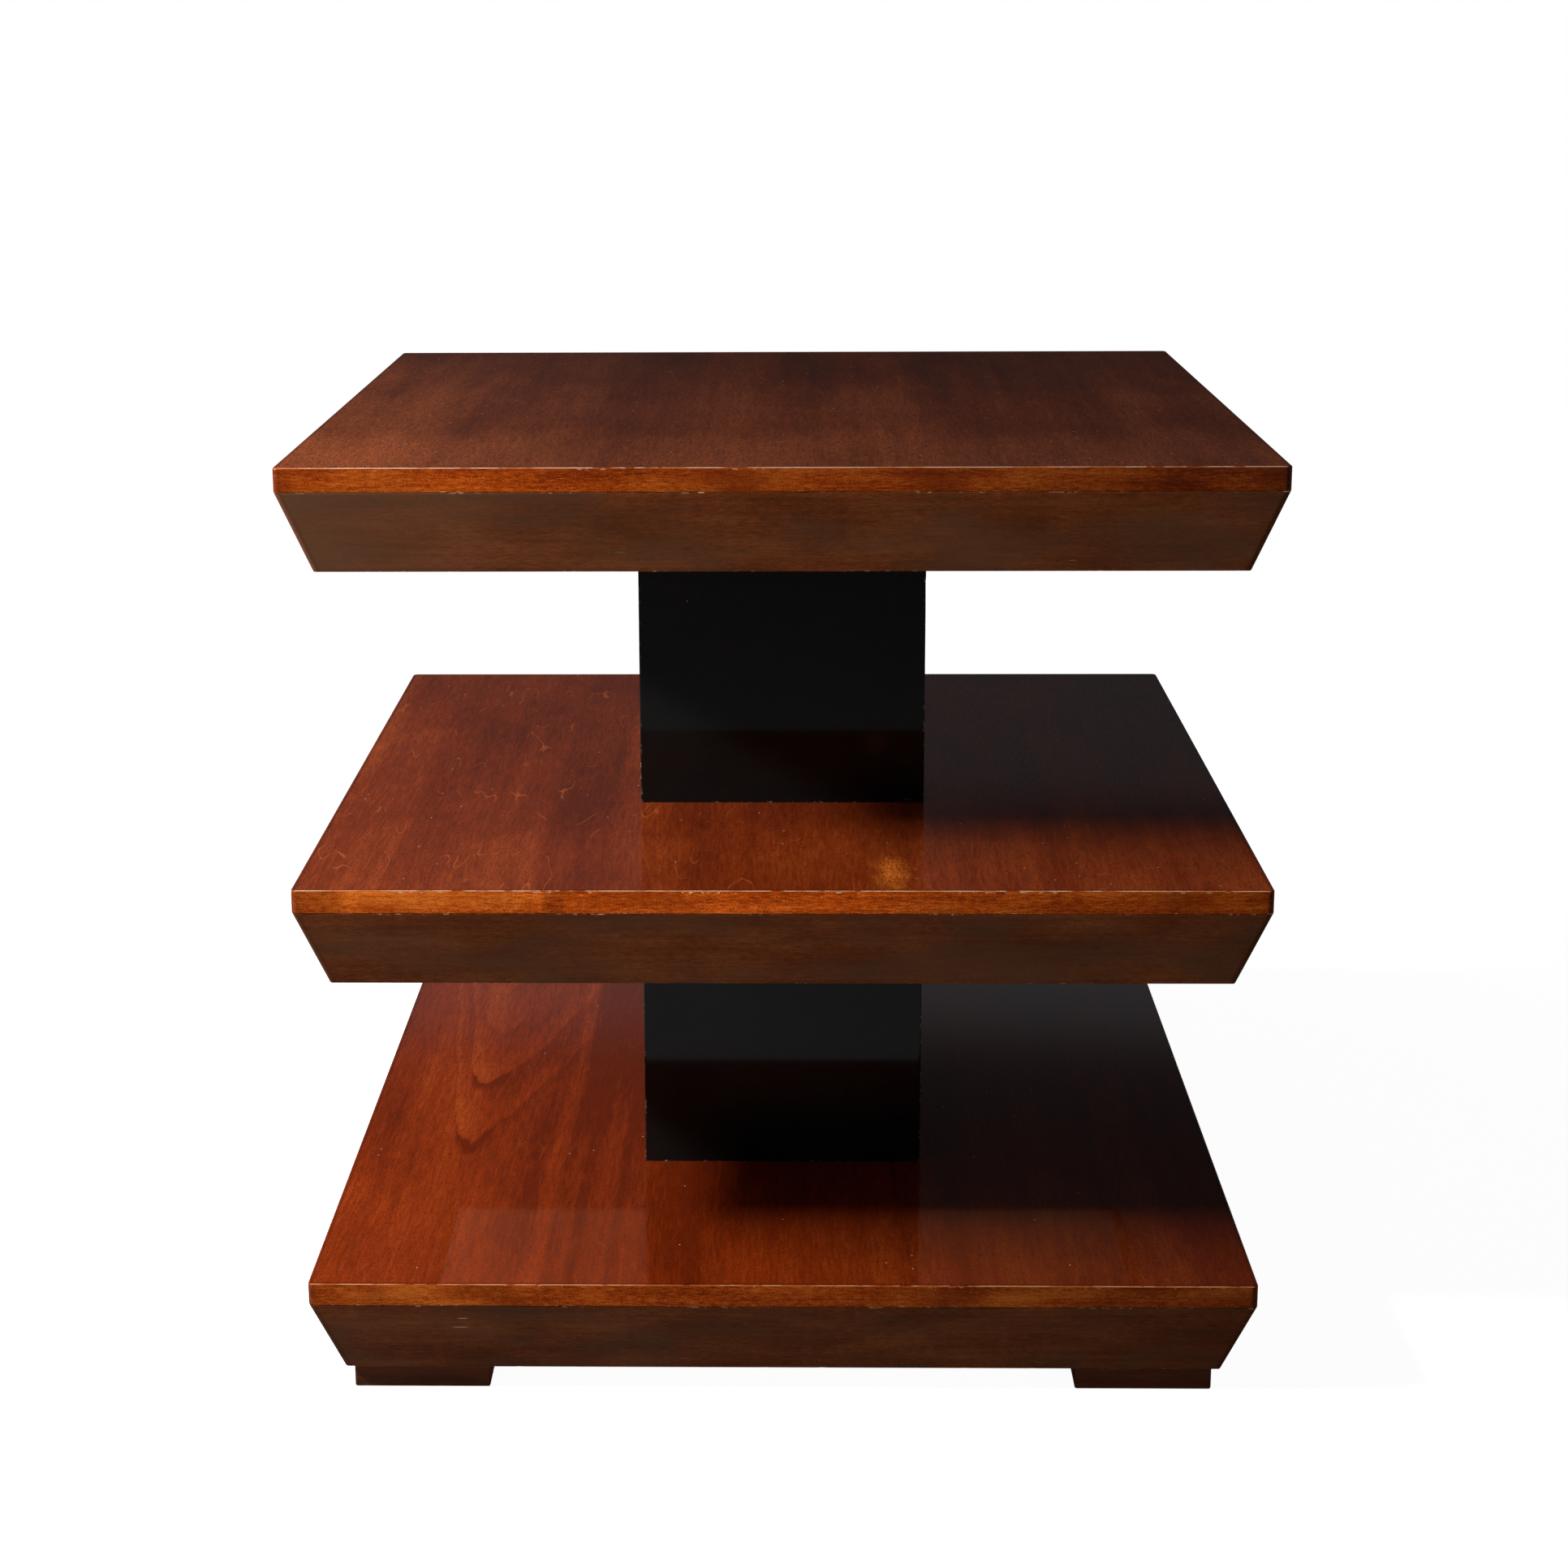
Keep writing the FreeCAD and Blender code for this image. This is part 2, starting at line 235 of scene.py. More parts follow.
class Surface(Graph):
    """A material while it is written: a tree that ends in one Principled surface."""

    def __init__(self, name: str) -> None:
        """Starts an empty material of that name."""
        self.material = bpy.data.materials.new(name)
        self.material.use_nodes = True
        super().__init__(self.material.node_tree)
        self.tree.nodes.clear()

    def place(self) -> Flow:
        """Object coordinates."""
        return self.shade("TexCoord").out("Object")

    def height(self) -> Flow:
        """Height above the floor."""
        return self.split(self.place())[2]

    def attribute(self, name: str, output: str = "Fac") -> Flow:
        """An attribute that the piece's mesh carries."""
        return self.shade("Attribute", {"attribute_name": name}).out(output)

    def ramp(self, value: Flow, *stops: tuple[float, Colour]) -> Flow:
        """A colour looked up along a row of stops."""
        return self.shade("ValToRGB", {"stops": stops}, Fac=value)

    def mix(self, share: Number, first: Shade, second: Shade, how: str = "MIX") -> Flow:
        """Two colours mixed.

        Args:
            share: how much of the second colour counts.
            first: the colour below.
            second: the colour above.
            how: the blend type.

        Returns:
            The mixed colour.
        """
        settings = {"data_type": "RGBA", "blend_type": how, "clamp_factor": True}
        first, second = (c if isinstance(c, Flow) else (*c, 1.0) for c in (first, second))
        values = {"Factor_Float": share, "A_Color": first, "B_Color": second}
        return self.node("ShaderNodeMix", settings, values).out("Result_Color")

    def layered(self, colour: Flow, *layers: tuple[Number, Shade]) -> Flow:
        """A colour with others laid over it in order, each by its share."""
        for share, shade in layers:
            colour = self.mix(share, colour, shade)
        return colour

    def tinted(self, colour: Flow, factor: Flow) -> Flow:
        """A colour made darker or brighter by a factor."""
        return self.mix(1.0, colour, self.joined(factor, factor, factor), "MULTIPLY")

    def specks(self, vector: Flow, spacing: float, radius: float, share: float) -> Flow:
        """Small scattered dots.

        Args:
            vector: where to read them, with the plane that they lie in first.
            spacing: size of the cell that may hold one dot.
            radius: size of a dot.
            share: share of the cells that hold one.

        Returns:
            One on a dot and zero elsewhere.
        """
        cell = self.shade("TexVoronoi", {"voronoi_dimensions": "2D"}, Vector=vector, Scale=1.0 / spacing)
        chosen = self.split(cell.out("Color"))[0].under(share)
        return chosen * self.fall(cell, 0.5 * radius / spacing, radius / spacing)

    def bump(self, height: Flow, depth: float) -> Flow:
        """A normal roughened by a height from 0 to 1 over a depth in metres."""
        return self.shade("Bump", Height=height, Distance=depth, Strength=1.0)

    def finish(self, **values: Any) -> Material:
        """Ends the tree in a Principled surface with these inputs and gives the material."""
        self.shade("OutputMaterial", Surface=self.shade("BsdfPrincipled", **values))
        return self.material


@dataclass(frozen=True)
class FaceVeneer:
    """Stained, polished veneer whose grain runs front to back, with arches, gum lines and dust.

    Each band is a streak along the grain, or on the bottom tier also a painted shadow: its middle, its reach
    and what it adds to the tone. The face also carries painted light and shade: paler to the left and front,
    darker to the back and right, a painted shade line behind the arris, a painted golden glint, and a worn
    arris that is partly a painted highlight.
    """

    name: str
    arch_tip: Pair
    arch_way: float
    arch_contrast: float
    dark: Colour
    middle: Colour
    light: Colour
    # Painted light and shade: how much paler the face is to the left and front, and darker to the back.
    pale_left: float = 0.0
    pale_front: float = 0.0
    dark_back: float = 0.0
    # Painted shade: how much darker the face gets towards the right.
    dark_right: float = 0.0
    bands: Sequence[Triple] = ()
    gum_share: float = 0.15
    dust_share: float = 0.06
    grain_share: float = 1.0
    cloud_share: float = 1.0
    speck_share: float = 1.1
    # Middle and size of a painted golden glint.
    rub: Optional[Pair] = None
    rub_size: Pair = (0.012, 0.046)
    half: float = 0.305
    arch_pitch: float = 0.116
    arch_bend: float = 8.3
    arch_power: float = 1.36
    dust_spacing: float = 0.017
    dust_radius: float = 0.0006
    rim: Colour = (0.46, 0.075, 0.005)
    # Colours of the worn arris, whose pale line is partly a painted highlight.
    worn: Colour = (0.66, 0.31, 0.12)
    bare: Colour = (0.98, 0.80, 0.58)
    # Colour of the painted shade behind the arris.
    painted_shade: Colour = (0.020, 0.004, 0.001)
    # Colour of the painted glint.
    gold: Colour = (0.90, 0.235, 0.022)
    gum: Colour = (0.58, 0.135, 0.034)
    dust: Colour = (0.86, 0.72, 0.56)

    def material(self) -> Material:
        """Writes the veneer's nodes."""
        s = Surface(self.name + "_polish")
        place = s.place()
        x, y, z = s.split(place)
        drift = s.noise(place, (4.0, 1.3, TIER_APART)) - 0.5
        waver = s.noise(place, (42.0, 10.0, TIER_APART), 3.0) - 0.5
        across = x + drift * 0.03 + waver * 0.006
        flowing = s.joined(across, y, z)

        streak = s.noise(flowing, (15.0, 0.9, TIER_APART), 3.0, 0.55)
        stripe = s.noise(flowing, (90.0, 3.0, TIER_APART), 3.0)
        fibre = s.noise(flowing, (480.0, 42.0, TIER_APART)) - 0.5
        speckle = s.noise(place, (900.0, 330.0, TIER_APART), 1.0)
        cloud = s.noise(flowing, (15.0, 6.0, TIER_APART), 3.0)
        tone = (
            0.5
            + (streak - 0.5)
            + (stripe - 0.5) * 0.55
            + fibre * 0.50 * self.grain_share
            + (cloud - 0.5) * 1.10 * self.cloud_share
            + self._arches(s, across, y, waver)
            # Painted light and shade: paler to the left and front, darker to the back.
            + s.fall(x + waver * 0.1, -0.31, -0.09) * self.pale_left
            + s.fall(y + waver * 0.2, -0.22, -0.12) * self.pale_front
            - s.step(y + waver * 0.4, -0.05, 0.22) * self.dark_back
        )
        # Streaks along the grain; on the bottom tier one of them is a painted shadow.
        for middle, reach, amount in self.bands:
            tone = tone + s.close(across, middle, 0.3 * reach, reach) * amount
        pale = tuple(1.4 * part for part in self.light)
        stops = ((0.05, self.dark), (0.40, self.middle), (0.72, self.light), (1.0, pale))
        colour = s.ramp(tone * 0.8, *stops)
        pores = s.blots(flowing, (1250.0, 170.0, TIER_APART), (0.56, 0.70), 1.0)
        colour = s.mix(pores * 0.65, colour, self.dark)
        grain = fibre * 0.40 * self.grain_share + (speckle - 0.5) * 0.80 * self.speck_share
        colour = s.tinted(colour, grain + 1.0)
        # Painted shade: the face darkens towards the right.
        if self.dark_right:
            colour = s.tinted(colour, 1.0 - s.step(x + waver * 0.1, -0.12, 0.18) * self.dark_right)
        # A painted golden glint on the face.
        if self.rub:
            colour = s.mix(self._rub(s, place) * 0.65, colour, self.gold)

        path = s.noise(place, (58.0, 13.0, TIER_APART), 1.0)
        some = s.noise(place, (42.0, 19.0, TIER_APART), 1.0) + s.fall(x, -0.12, 0.05) * 0.08
        gum = s.close(path, 0.5, 0.003, 0.009) * s.step(some, 0.63, 0.68)
        dust = s.specks(place, self.dust_spacing, self.dust_radius, self.dust_share)
        edge = self.half - abs(x).at_least(abs(y))
        # Painted shade: a dark line just behind the arris.
        shaded = s.strip(edge, (0.0008, 0.0014), (0.0016, 0.0040))
        below = s.step(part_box(self.name + "_veneer")[1].z - z, 0.0003, 0.0006)
        # The worn arris, strongest at the front; its pale line is partly a painted highlight.
        handled = 0.12 + 0.88 * s.fall(y + self.half, 0.0005, 0.0020)
        rubbed_and_highlit = s.fall(edge, 0.0002, 0.0009) * (1.0 - below) * handled
        rubbed_and_highlit = rubbed_and_highlit * s.blots(place, (90.0, 90.0, TIER_APART), (0.36, 0.48), 3.0)
        bare = s.blots(place, (50.0, 50.0, TIER_APART), (0.40, 0.54))
        colour = s.layered(
            colour,
            (gum * self.gum_share, self.gum),
            (dust * 0.8, self.dust),
            (shaded * 0.45, self.painted_shade),
            (below, self.rim),
            (rubbed_and_highlit * 0.95, s.mix(bare, self.worn, self.bare)),
        )
        return s.finish(
            Base_Color=colour,
            Roughness=0.50 + fibre * 0.25,
            Coat_Weight=0.95 - rubbed_and_highlit * 0.3 - dust * 0.6,
            Coat_Roughness=0.04,
            Specular_IOR_Level=0.06,
            Normal=s.bump((fibre + 0.5) * 0.6 - pores * 0.4, 0.00008),
        )

    def _rub(self, s: Surface, place: Flow) -> Flow:
        """A painted golden glint on the polish, crazed all over.

        Args:
            s: the material.
            place: object coordinates.

        Returns:
            One on the spot's golden threads and zero outside.
        """
        away_x, away_y = ((at - to) / size for at, to, size in zip(s.split(place), self.rub, self.rub_size))
        ragged = s.noise(place, (160.0, 60.0, TIER_APART)) - 0.5
        away = (away_x**2.0 + away_y**2.0).root() + ragged * 1.2
        craze = s.noise(place, (420.0, 130.0, TIER_APART))
        return s.fall(away, 0.0, 1.25) * (0.25 + 0.75 * s.close(craze, 0.5, 0.02, 0.12))

    def _arches(self, s: Surface, across: Flow, along: Flow, waver: Flow) -> Flow:
        """The tone of flat-cut growth rings: pale just inside each arch, dark at its tip.

        Args:
            s: the material.
            across: distance across the grain.
            along: distance along the grain.
            waver: small irregularity round zero.

        Returns:
            What the arches add to the tone.
        """
        off = across - self.arch_tip[0]
        steeper = 1.0 + 1.5 * s.fall(off, -0.030, -0.010)
        bend = abs(off) ** self.arch_power * steeper * self.arch_bend
        jag = s.noise(s.joined(across, along, 0.0), (120.0, 30.0, 1.0)) - 0.5
        phase = (along * self.arch_way - self.arch_tip[1] - bend) / self.arch_pitch
        phase = phase + waver * 0.5 + jag * 0.12
        ring = phase.fraction()
        inside = s.strip(phase, (-0.25, 0.0), (1.4, 2.2))
        near = s.fall(abs(off), 0.03, 0.10) * (0.12 + 0.88 * inside)
        line = s.strip(ring, (0.74, 0.97), (0.985, 1.0)) * s.fall(bend, 0.014, 0.034)
        pale = s.strip(ring, (0.0, 0.05), (0.10, 0.75)) - 0.35
        return (pale * 0.32 - line * 0.60) * near * self.arch_contrast


@dataclass(frozen=True)
class BoardWood:
    """Solid wood read along a board: lippings and aprons, with flecks, dark patches and rubbed edges.

    Each patch names its board, middle, reach and change of brightness, and each scratch its middle,
    height and reach. The boards also carry painted light and shade: shade at their rounded ends and
    towards their right ends, and a painted sheen on the left ends of the top tier's aprons.
    """

    name: str
    height: float
    dark: Colour
    middle: Colour
    light: Colour
    fleck_share: float
    patch_share: float
    chip_share: float
    gloss: float
    roughness: float
    grain_share: float
    scuff_share: float = 0.0
    # Share of the smoky figure and of the painted sheen.
    smoke_and_sheen_share: float = 0.0
    # Painted shade: how much darker a board gets towards its right end.
    dark_right: float = 0.0
    patches: Sequence[tuple[float, float, float, float]] = ()
    scratches: Sequence[Triple] = ()
    scratched_board: float = 0.0
    scratch_width: float = 0.0005
    # Height above which the boards' left ends get a painted sheen.
    hazy_from: Pair = (0.52, 0.53)
    smoke: Colour = (0.110, 0.052, 0.027)
    # Colour of the painted sheen.
    painted_sheen: Colour = (0.185, 0.083, 0.042)
    # Colour of the painted shade at the boards' rounded ends.
    painted_shade: Colour = (0.030, 0.007, 0.002)
    chip: Colour = (0.86, 0.58, 0.33)

    def material(self) -> Material:
        """Writes the board's nodes."""
        s = Surface(self.name)
        along, depth, rise = s.split(s.attribute("grain", "Vector"))
        number, corner = s.attribute("board"), s.attribute("corner")
        shifted = along + number * BOARD_APART
        run = s.joined(shifted, depth + number * 0.31, rise)
        sway = s.noise(run, (9.0, 20.0, 20.0)) - 0.5
        level = s.joined(shifted, depth, rise + sway * 0.006)

        figure = s.noise(level, (11.0, 30.0, 42.0), 3.0, 0.55)
        stripe = s.noise(level, (14.0, 200.0, 330.0), 3.0)
        fibre = s.noise(level, (150.0, 900.0, 900.0))
        speckle = s.noise(run, (900.0, 1500.0, 1500.0), 1.0)
        grain = (stripe - 0.5) * 0.45 + (fibre - 0.5) * 0.7 + (speckle - 0.5) * 0.6
        tone = 0.5 + (figure - 0.5) * 1.5 + grain * self.grain_share
        patch = s.blots(run, (14.0, 30.0, 30.0), (0.48, 0.72)) + s.fall(corner, 0.002, 0.030) * 0.4
        smoke = s.blots(run, (7.0, 20.0, 26.0), (0.40, 0.66), 3.0, 0.6)
        # Painted sheen: a pale veil on the left ends of the top tier's boards.
        painted_sheen = s.step(s.height(), *self.hazy_from) * s.fall(along, -0.32, -0.08)
        dash = s.noise(level, (300.0, 900.0, 1400.0), 1.0)
        edge = s.fall(self.height - rise, 0.0002, 0.0011).at_least(s.fall(rise, 0.0002, 0.0010))
        bare = edge * s.fall(depth, 0.0008, 0.0018) * self.chip_share
        bare = bare * s.blots(run, (240.0, 300.0, 300.0), (0.55, 0.60), 3.0)
        bare = bare * s.blots(run, (17.0, 60.0, 60.0), (0.49, 0.60))
        scuff = s.blots(run, (36.0, 60.0, 520.0), (0.76, 0.79), 1.0) * self.scuff_share
        scuff = scuff * s.blots(run, (9.0, 9.0, 31.0), (0.56, 0.62), 1.0)
        scuff = scuff.at_least(self._scratched(s, along, rise, number))
        colour = s.layered(
            s.ramp(tone, (0.1, self.dark), (0.5, self.middle), (0.92, self.light)),
            (patch.at_most(1.0) * self.patch_share, self.dark),
            (smoke * self.smoke_and_sheen_share, self.smoke),
            (painted_sheen * self.smoke_and_sheen_share, self.painted_sheen),
            # Painted shade where a board's rounded end turns away from the light.
            (s.fall(corner, 0.002, 0.006) * 0.55, self.painted_shade),
            (s.fall(dash, 0.26, 0.40) * self.fleck_share * 1.4, self.dark),
            (s.step(dash, 0.62, 0.74) * self.fleck_share, self.light),
            (bare.at_least(scuff), self.chip),
        )
        # Painted shade: darker towards the board's right end.
        stain = s.attribute("stain") * (1.0 - s.step(along, -0.10, 0.32) * self.dark_right)
        # The board's brightness factor, partly painted light and shade.
        colour = s.tinted(colour, stain * self._patched(s, along + sway * 0.01, number))
        return s.finish(
            Base_Color=colour,
            Roughness=self.roughness + (fibre - 0.5) * 0.25 + bare * 0.2,
            Coat_Weight=self.gloss * (1.0 - bare),
            Coat_Roughness=0.12,
            Specular_IOR_Level=0.03,
            Normal=s.bump(fibre * 0.5 + stripe * 0.5, 0.00012),
        )

    def _patched(self, s: Surface, along: Flow, number: Flow) -> Number:
        """How single boards are paler or darker along a part of their length.

        Args:
            s: the material.
            along: distance from the board's middle.
            number: the board's number.

        Returns:
            A brightness factor, one away from the patches.
        """
        factor: Number = 1.0
        for board, middle, reach, amount in self.patches:
            inside = s.close(along, middle, 0.5 * reach, reach) * s.close(number, board, *SAME_BOARD)
            factor = inside * amount + factor
        return factor

    def _scratched(self, s: Surface, along: Flow, rise: Flow, number: Flow) -> Number:
        """Where one board has short scratches along its length.

        Args:
            s: the material.
            along: distance from the board's middle.
            rise: height above the board's lower edge.
            number: the board's number.

        Returns:
            Most of one on a scratch and zero elsewhere.
        """
        found: Number = 0.0
        for middle, height, reach in self.scratches:
            inside = s.close(along, middle, 0.3 * reach, reach)
            found = (inside * s.close(rise, height, 0.0, self.scratch_width)).at_least(found)
        return s.close(number, self.scratched_board, *SAME_BOARD) * found * 0.8


@dataclass(frozen=True)
class BlackLacquer:
    """Black lacquer over board: faint unevenness, dust, and chips along the edges."""

    name: str = "black_lacquer"
    half: float = 0.0975
    seam_from: Pair = (0.30, 0.32)
    dust_spacing: float = 0.035
    dust_radius: float = 0.0007
    dust_share: float = 0.06
    black: Colour = (0.0052, 0.0051, 0.0050)
    grey: Colour = (0.0084, 0.0083, 0.0082)
    chip: Colour = (0.42, 0.29, 0.17)

    def material(self) -> Material:
        """Writes the lacquer's nodes."""
        s = Surface(self.name)
        along, depth, rise = s.split(s.attribute("grain", "Vector"))
        shifted = along + s.attribute("board") * BOARD_APART
        run = s.joined(shifted, depth, rise)
        cloud = s.noise(run, (9.0, 9.0, 9.0), 3.0)
        colour = s.ramp(cloud, (0.35, self.black), (0.7, self.grey))
        fine = s.blots(run, (210.0, 210.0, 210.0), (0.55, 0.62))
        some = s.blots(run, (22.0, 22.0, 22.0), (0.46, 0.58))
        side = s.fall(self.half - abs(along), 0.0007, 0.0020)
        bare = side.at_least(s.fall(rise, 0.0003, 0.0012)) * fine * some
        seam = s.strip(rise, (0.0012, 0.0018), (0.0024, 0.0032)) * s.step(along, 0.068, 0.076)
        seam = seam * s.step(s.height(), *self.seam_from) * fine * 0.25
        spots = s.joined(shifted, rise, 0.0)
        dust = s.specks(spots, self.dust_spacing, self.dust_radius, self.dust_share)
        # The column's brightness factor; the lower column's is raised as painted light.
        colour = s.tinted(colour, s.attribute("stain"))
        return s.finish(
            Base_Color=s.mix(bare.at_least(dust).at_least(seam) * 0.75, colour, self.chip),
            Roughness=0.05 + cloud * 0.04 + bare * 0.4,
            Specular_IOR_Level=0.23,
            Normal=s.bump(s.noise(run, (330.0, 330.0, 330.0)), 0.000008),
        )


@dataclass(frozen=True)
class PlainFinish:
    """Two colours over layers of noise, the last of which roughens the surface too.

    Each layer gives its cycles per metre, its octaves and its weight in the tone.
    """

    name: str
    dark: Colour
    light: Colour
    ends: Pair
    layers: Sequence[tuple[Triple, float, float]]
    roughness: float
    swing: float
    depth: float
    specular: float = 0.5
    metallic: float = 0.0
    hem: Optional[Colour] = None

    def material(self) -> Material:
        """Writes the finish's nodes, with a rubbed hem at the floor if it has one."""
        s = Surface(self.name)
        place = s.place()
        noises = [s.noise(place, factors, detail) for factors, detail, _ in self.layers]
        tone = sum(noise * layer[2] for noise, layer in zip(noises, self.layers))
        colour = s.ramp(tone, *zip(self.ends, (self.dark, self.light)))
        if self.hem:
            low = s.fall(s.height(), 0.0003, 0.0018)
            low = low * s.blots(place, (60.0, 60.0, 60.0), (0.5, 0.62))
            colour = s.mix(low * 0.6, colour, self.hem)
        return s.finish(
            Base_Color=colour,
            Roughness=self.roughness + (noises[-1] - 0.5) * self.swing,
            Metallic=self.metallic,
            Specular_IOR_Level=self.specular,
            Normal=s.bump(noises[-1], self.depth),
        )


def timber(name: str, dark: Colour, light: Colour, stretch: Triple) -> PlainFinish:
    """Unstained timber or ply that the polish doesn't reach, stretched along its grain."""
    layers = [(tuple(cycles * part for part in stretch), *rest) for cycles, *rest in TIMBER_LAYERS]
    return PlainFinish(name, dark, light, (0.32, 0.68), layers, 0.62, 0.2, 0.00015, specular=0.3)


def put(name: str, data: bpy.types.ID) -> bpy.types.Object:
    """Adds an object with its data to the scene."""
    added = bpy.data.objects.new(name, data)
    bpy.context.scene.collection.objects.link(added)
    return added


class GrowTree(Graph):
    """A Geometry Nodes tree with named inputs, run on an empty mesh and kept as a plain one."""

    title = "grow"
    numbers: Sequence[str] = ()
    others: Mapping[str, str] = {}

    def __init__(self) -> None:
        """Makes the tree, its inputs and its nodes."""
        super().__init__(bpy.data.node_groups.new(self.title, "GeometryNodeTree"))
        kinds = {**dict.fromkeys(self.numbers, "Float"), **self.others, "Material": "Material"}
        self.sockets = {label: self._socket(label, "INPUT", kind) for label, kind in kinds.items()}
        self._socket("Geometry", "OUTPUT", "Geometry")
        self.source = self.node("NodeGroupInput")
        shape = self.make("RealizeInstances", Geometry=self.shape())
        shape = self.make("SetMaterial", Geometry=shape, Material=self.given("Material"))
        self.node("NodeGroupOutput", inputs={"Geometry": shape})

    def _socket(self, label: str, way: str, kind: str) -> str:
        """Adds a socket to the tree's interface and gives its identifier."""
        made = self.tree.interface.new_socket(label, in_out=way, socket_type="NodeSocket" + kind)
        return made.identifier

    def shape(self) -> Flow:
        """The geometry that the tree makes; each tree writes its own."""
        raise NotImplementedError

    def given(self, label: str) -> Flow:
        """One of the tree's inputs."""
        return self.source.out(label)

    def make(self, kind: str, settings: Settings = None, **inputs: Any) -> Flow:
        """Adds a geometry node, by its type without the prefix."""
        return self.node("GeometryNode" + kind, settings, spaced(inputs))

    def gathered(self, target: Flow, key: Union[str, int], *parts: Flow) -> Flow:
        """Links several geometries into one socket of a node."""
        for part in parts:
            self.tree.links.new(part.socket, pick(target.socket.node.inputs, key))
        return target

    def lifted(self, geometry: Flow, height: Number) -> Flow:
        """Geometry moved up."""
        return self.make("Transform", Geometry=geometry, Translation=self.joined(0.0, 0.0, height))

    def stored(self, geometry: Flow, name: str, kind: str, value: Flow) -> Flow:
        """Geometry with a value kept at its points under a name."""
        settings = {"data_type": kind, "domain": "POINT"}
        return self.make("StoreNamedAttribute", settings, Geometry=geometry, Name=name, Value=value)

    def kept(self, name: str, kind: str) -> Flow:
        """A value read back by its name."""
        return self.make("InputNamedAttribute", {"data_type": kind}, Name=name)

    def run(self, name: str, sizes: Any, **values: Any) -> bpy.types.Object:
        """Grows one piece.

        Args:
            name: the new object's name.
            sizes: an object whose fields are named like some of the tree's inputs.
            values: the other inputs.

        Returns:
            An object at the origin that holds the result as a plain mesh.
        """
        host = put(name, bpy.data.meshes.new(name))
        modifier = host.modifiers.new("grow", "NODES")
        modifier.node_group = self.tree
        for label, socket in self.sockets.items():
            key = label.lower().replace(" ", "_")
            modifier[socket] = values[key] if key in values else getattr(sizes, key)
        graph = bpy.context.evaluated_depsgraph_get()
        mesh = bpy.data.meshes.new_from_object(host.evaluated_get(graph))
        host.modifiers.remove(modifier)
        mesh.name = name
        host.data = mesh
        return host


class BoardTree(GrowTree):
    """A board along one side of a square frame: mitred at both ends, with rounded corners and worn edges."""

    title = "mitred_board"
    numbers = ("Half Length", "Base", "Height", "Lean", "Corner Radius", "Wear", "Turn", "Number", "Stain")
    others = {"Section": "Object", "Arris Steps": "Int", "Rows": "Int"}
    mitre_share = 1.0 - math.sqrt(0.5)
    wear_reach = 0.0022
    sharp_angle = math.radians(35.0)

    def shape(self) -> Flow:
        """Sweeps the section along the side and bends its ends to the mitres."""
        half, corner = self.given("Half Length"), self.given("Corner Radius")
        mesh = self._sweep()
        depth, rise, _ = self.split(self.kept("section", "FLOAT_VECTOR"))
        face = (self.given("Height") - rise) * self.given("Lean")
        inward = depth - face
        spread = ((self.kept("run", "FLOAT") * 2.0 - 1.0) * (math.pi / 2.0)).sine()
        along = spread * (half - face - inward.at_least(corner * self.mitre_share))
        into = (abs(along) - (half - face - corner)).at_least(0.0)
        recess = corner - (corner**2.0 - into**2.0).at_least(0.0).root()
        inward = inward.at_least(recess)

        mesh = self.stored(mesh, "grain", "FLOAT_VECTOR", self.joined(along, inward, rise))
        end = half - face - abs(along)
        values = {"board": self.given("Number"), "stain": self.given("Stain"), "corner": end}
        for name, value in values.items():
            mesh = self.stored(mesh, name, "FLOAT", value)
        sunk = face + inward + self._chips(along, rise, inward) * self.given("Wear")
        spot = self.joined(along, sunk - half, rise + self.given("Base"))
        mesh = self.make("SetPosition", Geometry=mesh, Position=spot)
        for name in ("section", "run"):
            mesh = self.make("RemoveAttribute", Geometry=mesh, Name=name)
        mesh = self.make("SetShadeSmooth", {"domain": "FACE"}, Geometry=mesh, Shade_Smooth=True)
        bent = self.make("InputMeshEdgeAngle").over(self.sharp_angle)
        sharp = {"Geometry": mesh, "Selection": bent, "Shade_Smooth": False}
        mesh = self.make("SetShadeSmooth", {"domain": "EDGE"}, **sharp)
        return self.make("Transform", Geometry=mesh, Rotation=self.joined(0.0, 0.0, self.given("Turn")))

    def _sweep(self) -> Flow:
        """The section swept along a straight run, with both kept as named values."""
        section = self.make(
            "FilletCurve",
            {"mode": "POLY"},
            Curve=self.make("ObjectInfo", Object=self.given("Section")).out("Geometry"),
            Count=self.given("Arris Steps"),
            Radius=self.make("InputRadius"),
            Limit_Radius=True,
        )
        section = self.stored(section, "section", "FLOAT_VECTOR", self.make("InputPosition"))
        line = self.make("CurvePrimitiveLine")
        run = self.make("ResampleCurve", {"mode": "COUNT"}, Curve=line, Count=self.given("Rows"))
        run = self.stored(run, "run", "FLOAT", self.make("SplineParameter"))
        return self.make("CurveToMesh", Curve=run, Profile_Curve=section, Fill_Caps=True)

    def _chips(self, along: Flow, rise: Flow, inward: Flow) -> Flow:
        """How far the outer edges are knocked back, from 0 to 1.

        Args:
            along: distance from the board's middle.
            rise: height above the board's lower edge.
            inward: depth behind the board's outer face.

        Returns:
            The chips, which lie on the edges only.
        """
        top = self.given("Height") - rise
        end = self.given("Half Length") - abs(along)
        edge = self.fall(top.at_most(rise).at_most(end), 0.0, self.wear_reach)
        skin = self.fall(inward, 0.0, self.wear_reach)
        spot = self.joined(along + self.given("Number") * BOARD_APART, rise, inward)
        return self.blots(spot, (75.0, 120.0, 120.0), (0.58, 0.70)) * edge * skin


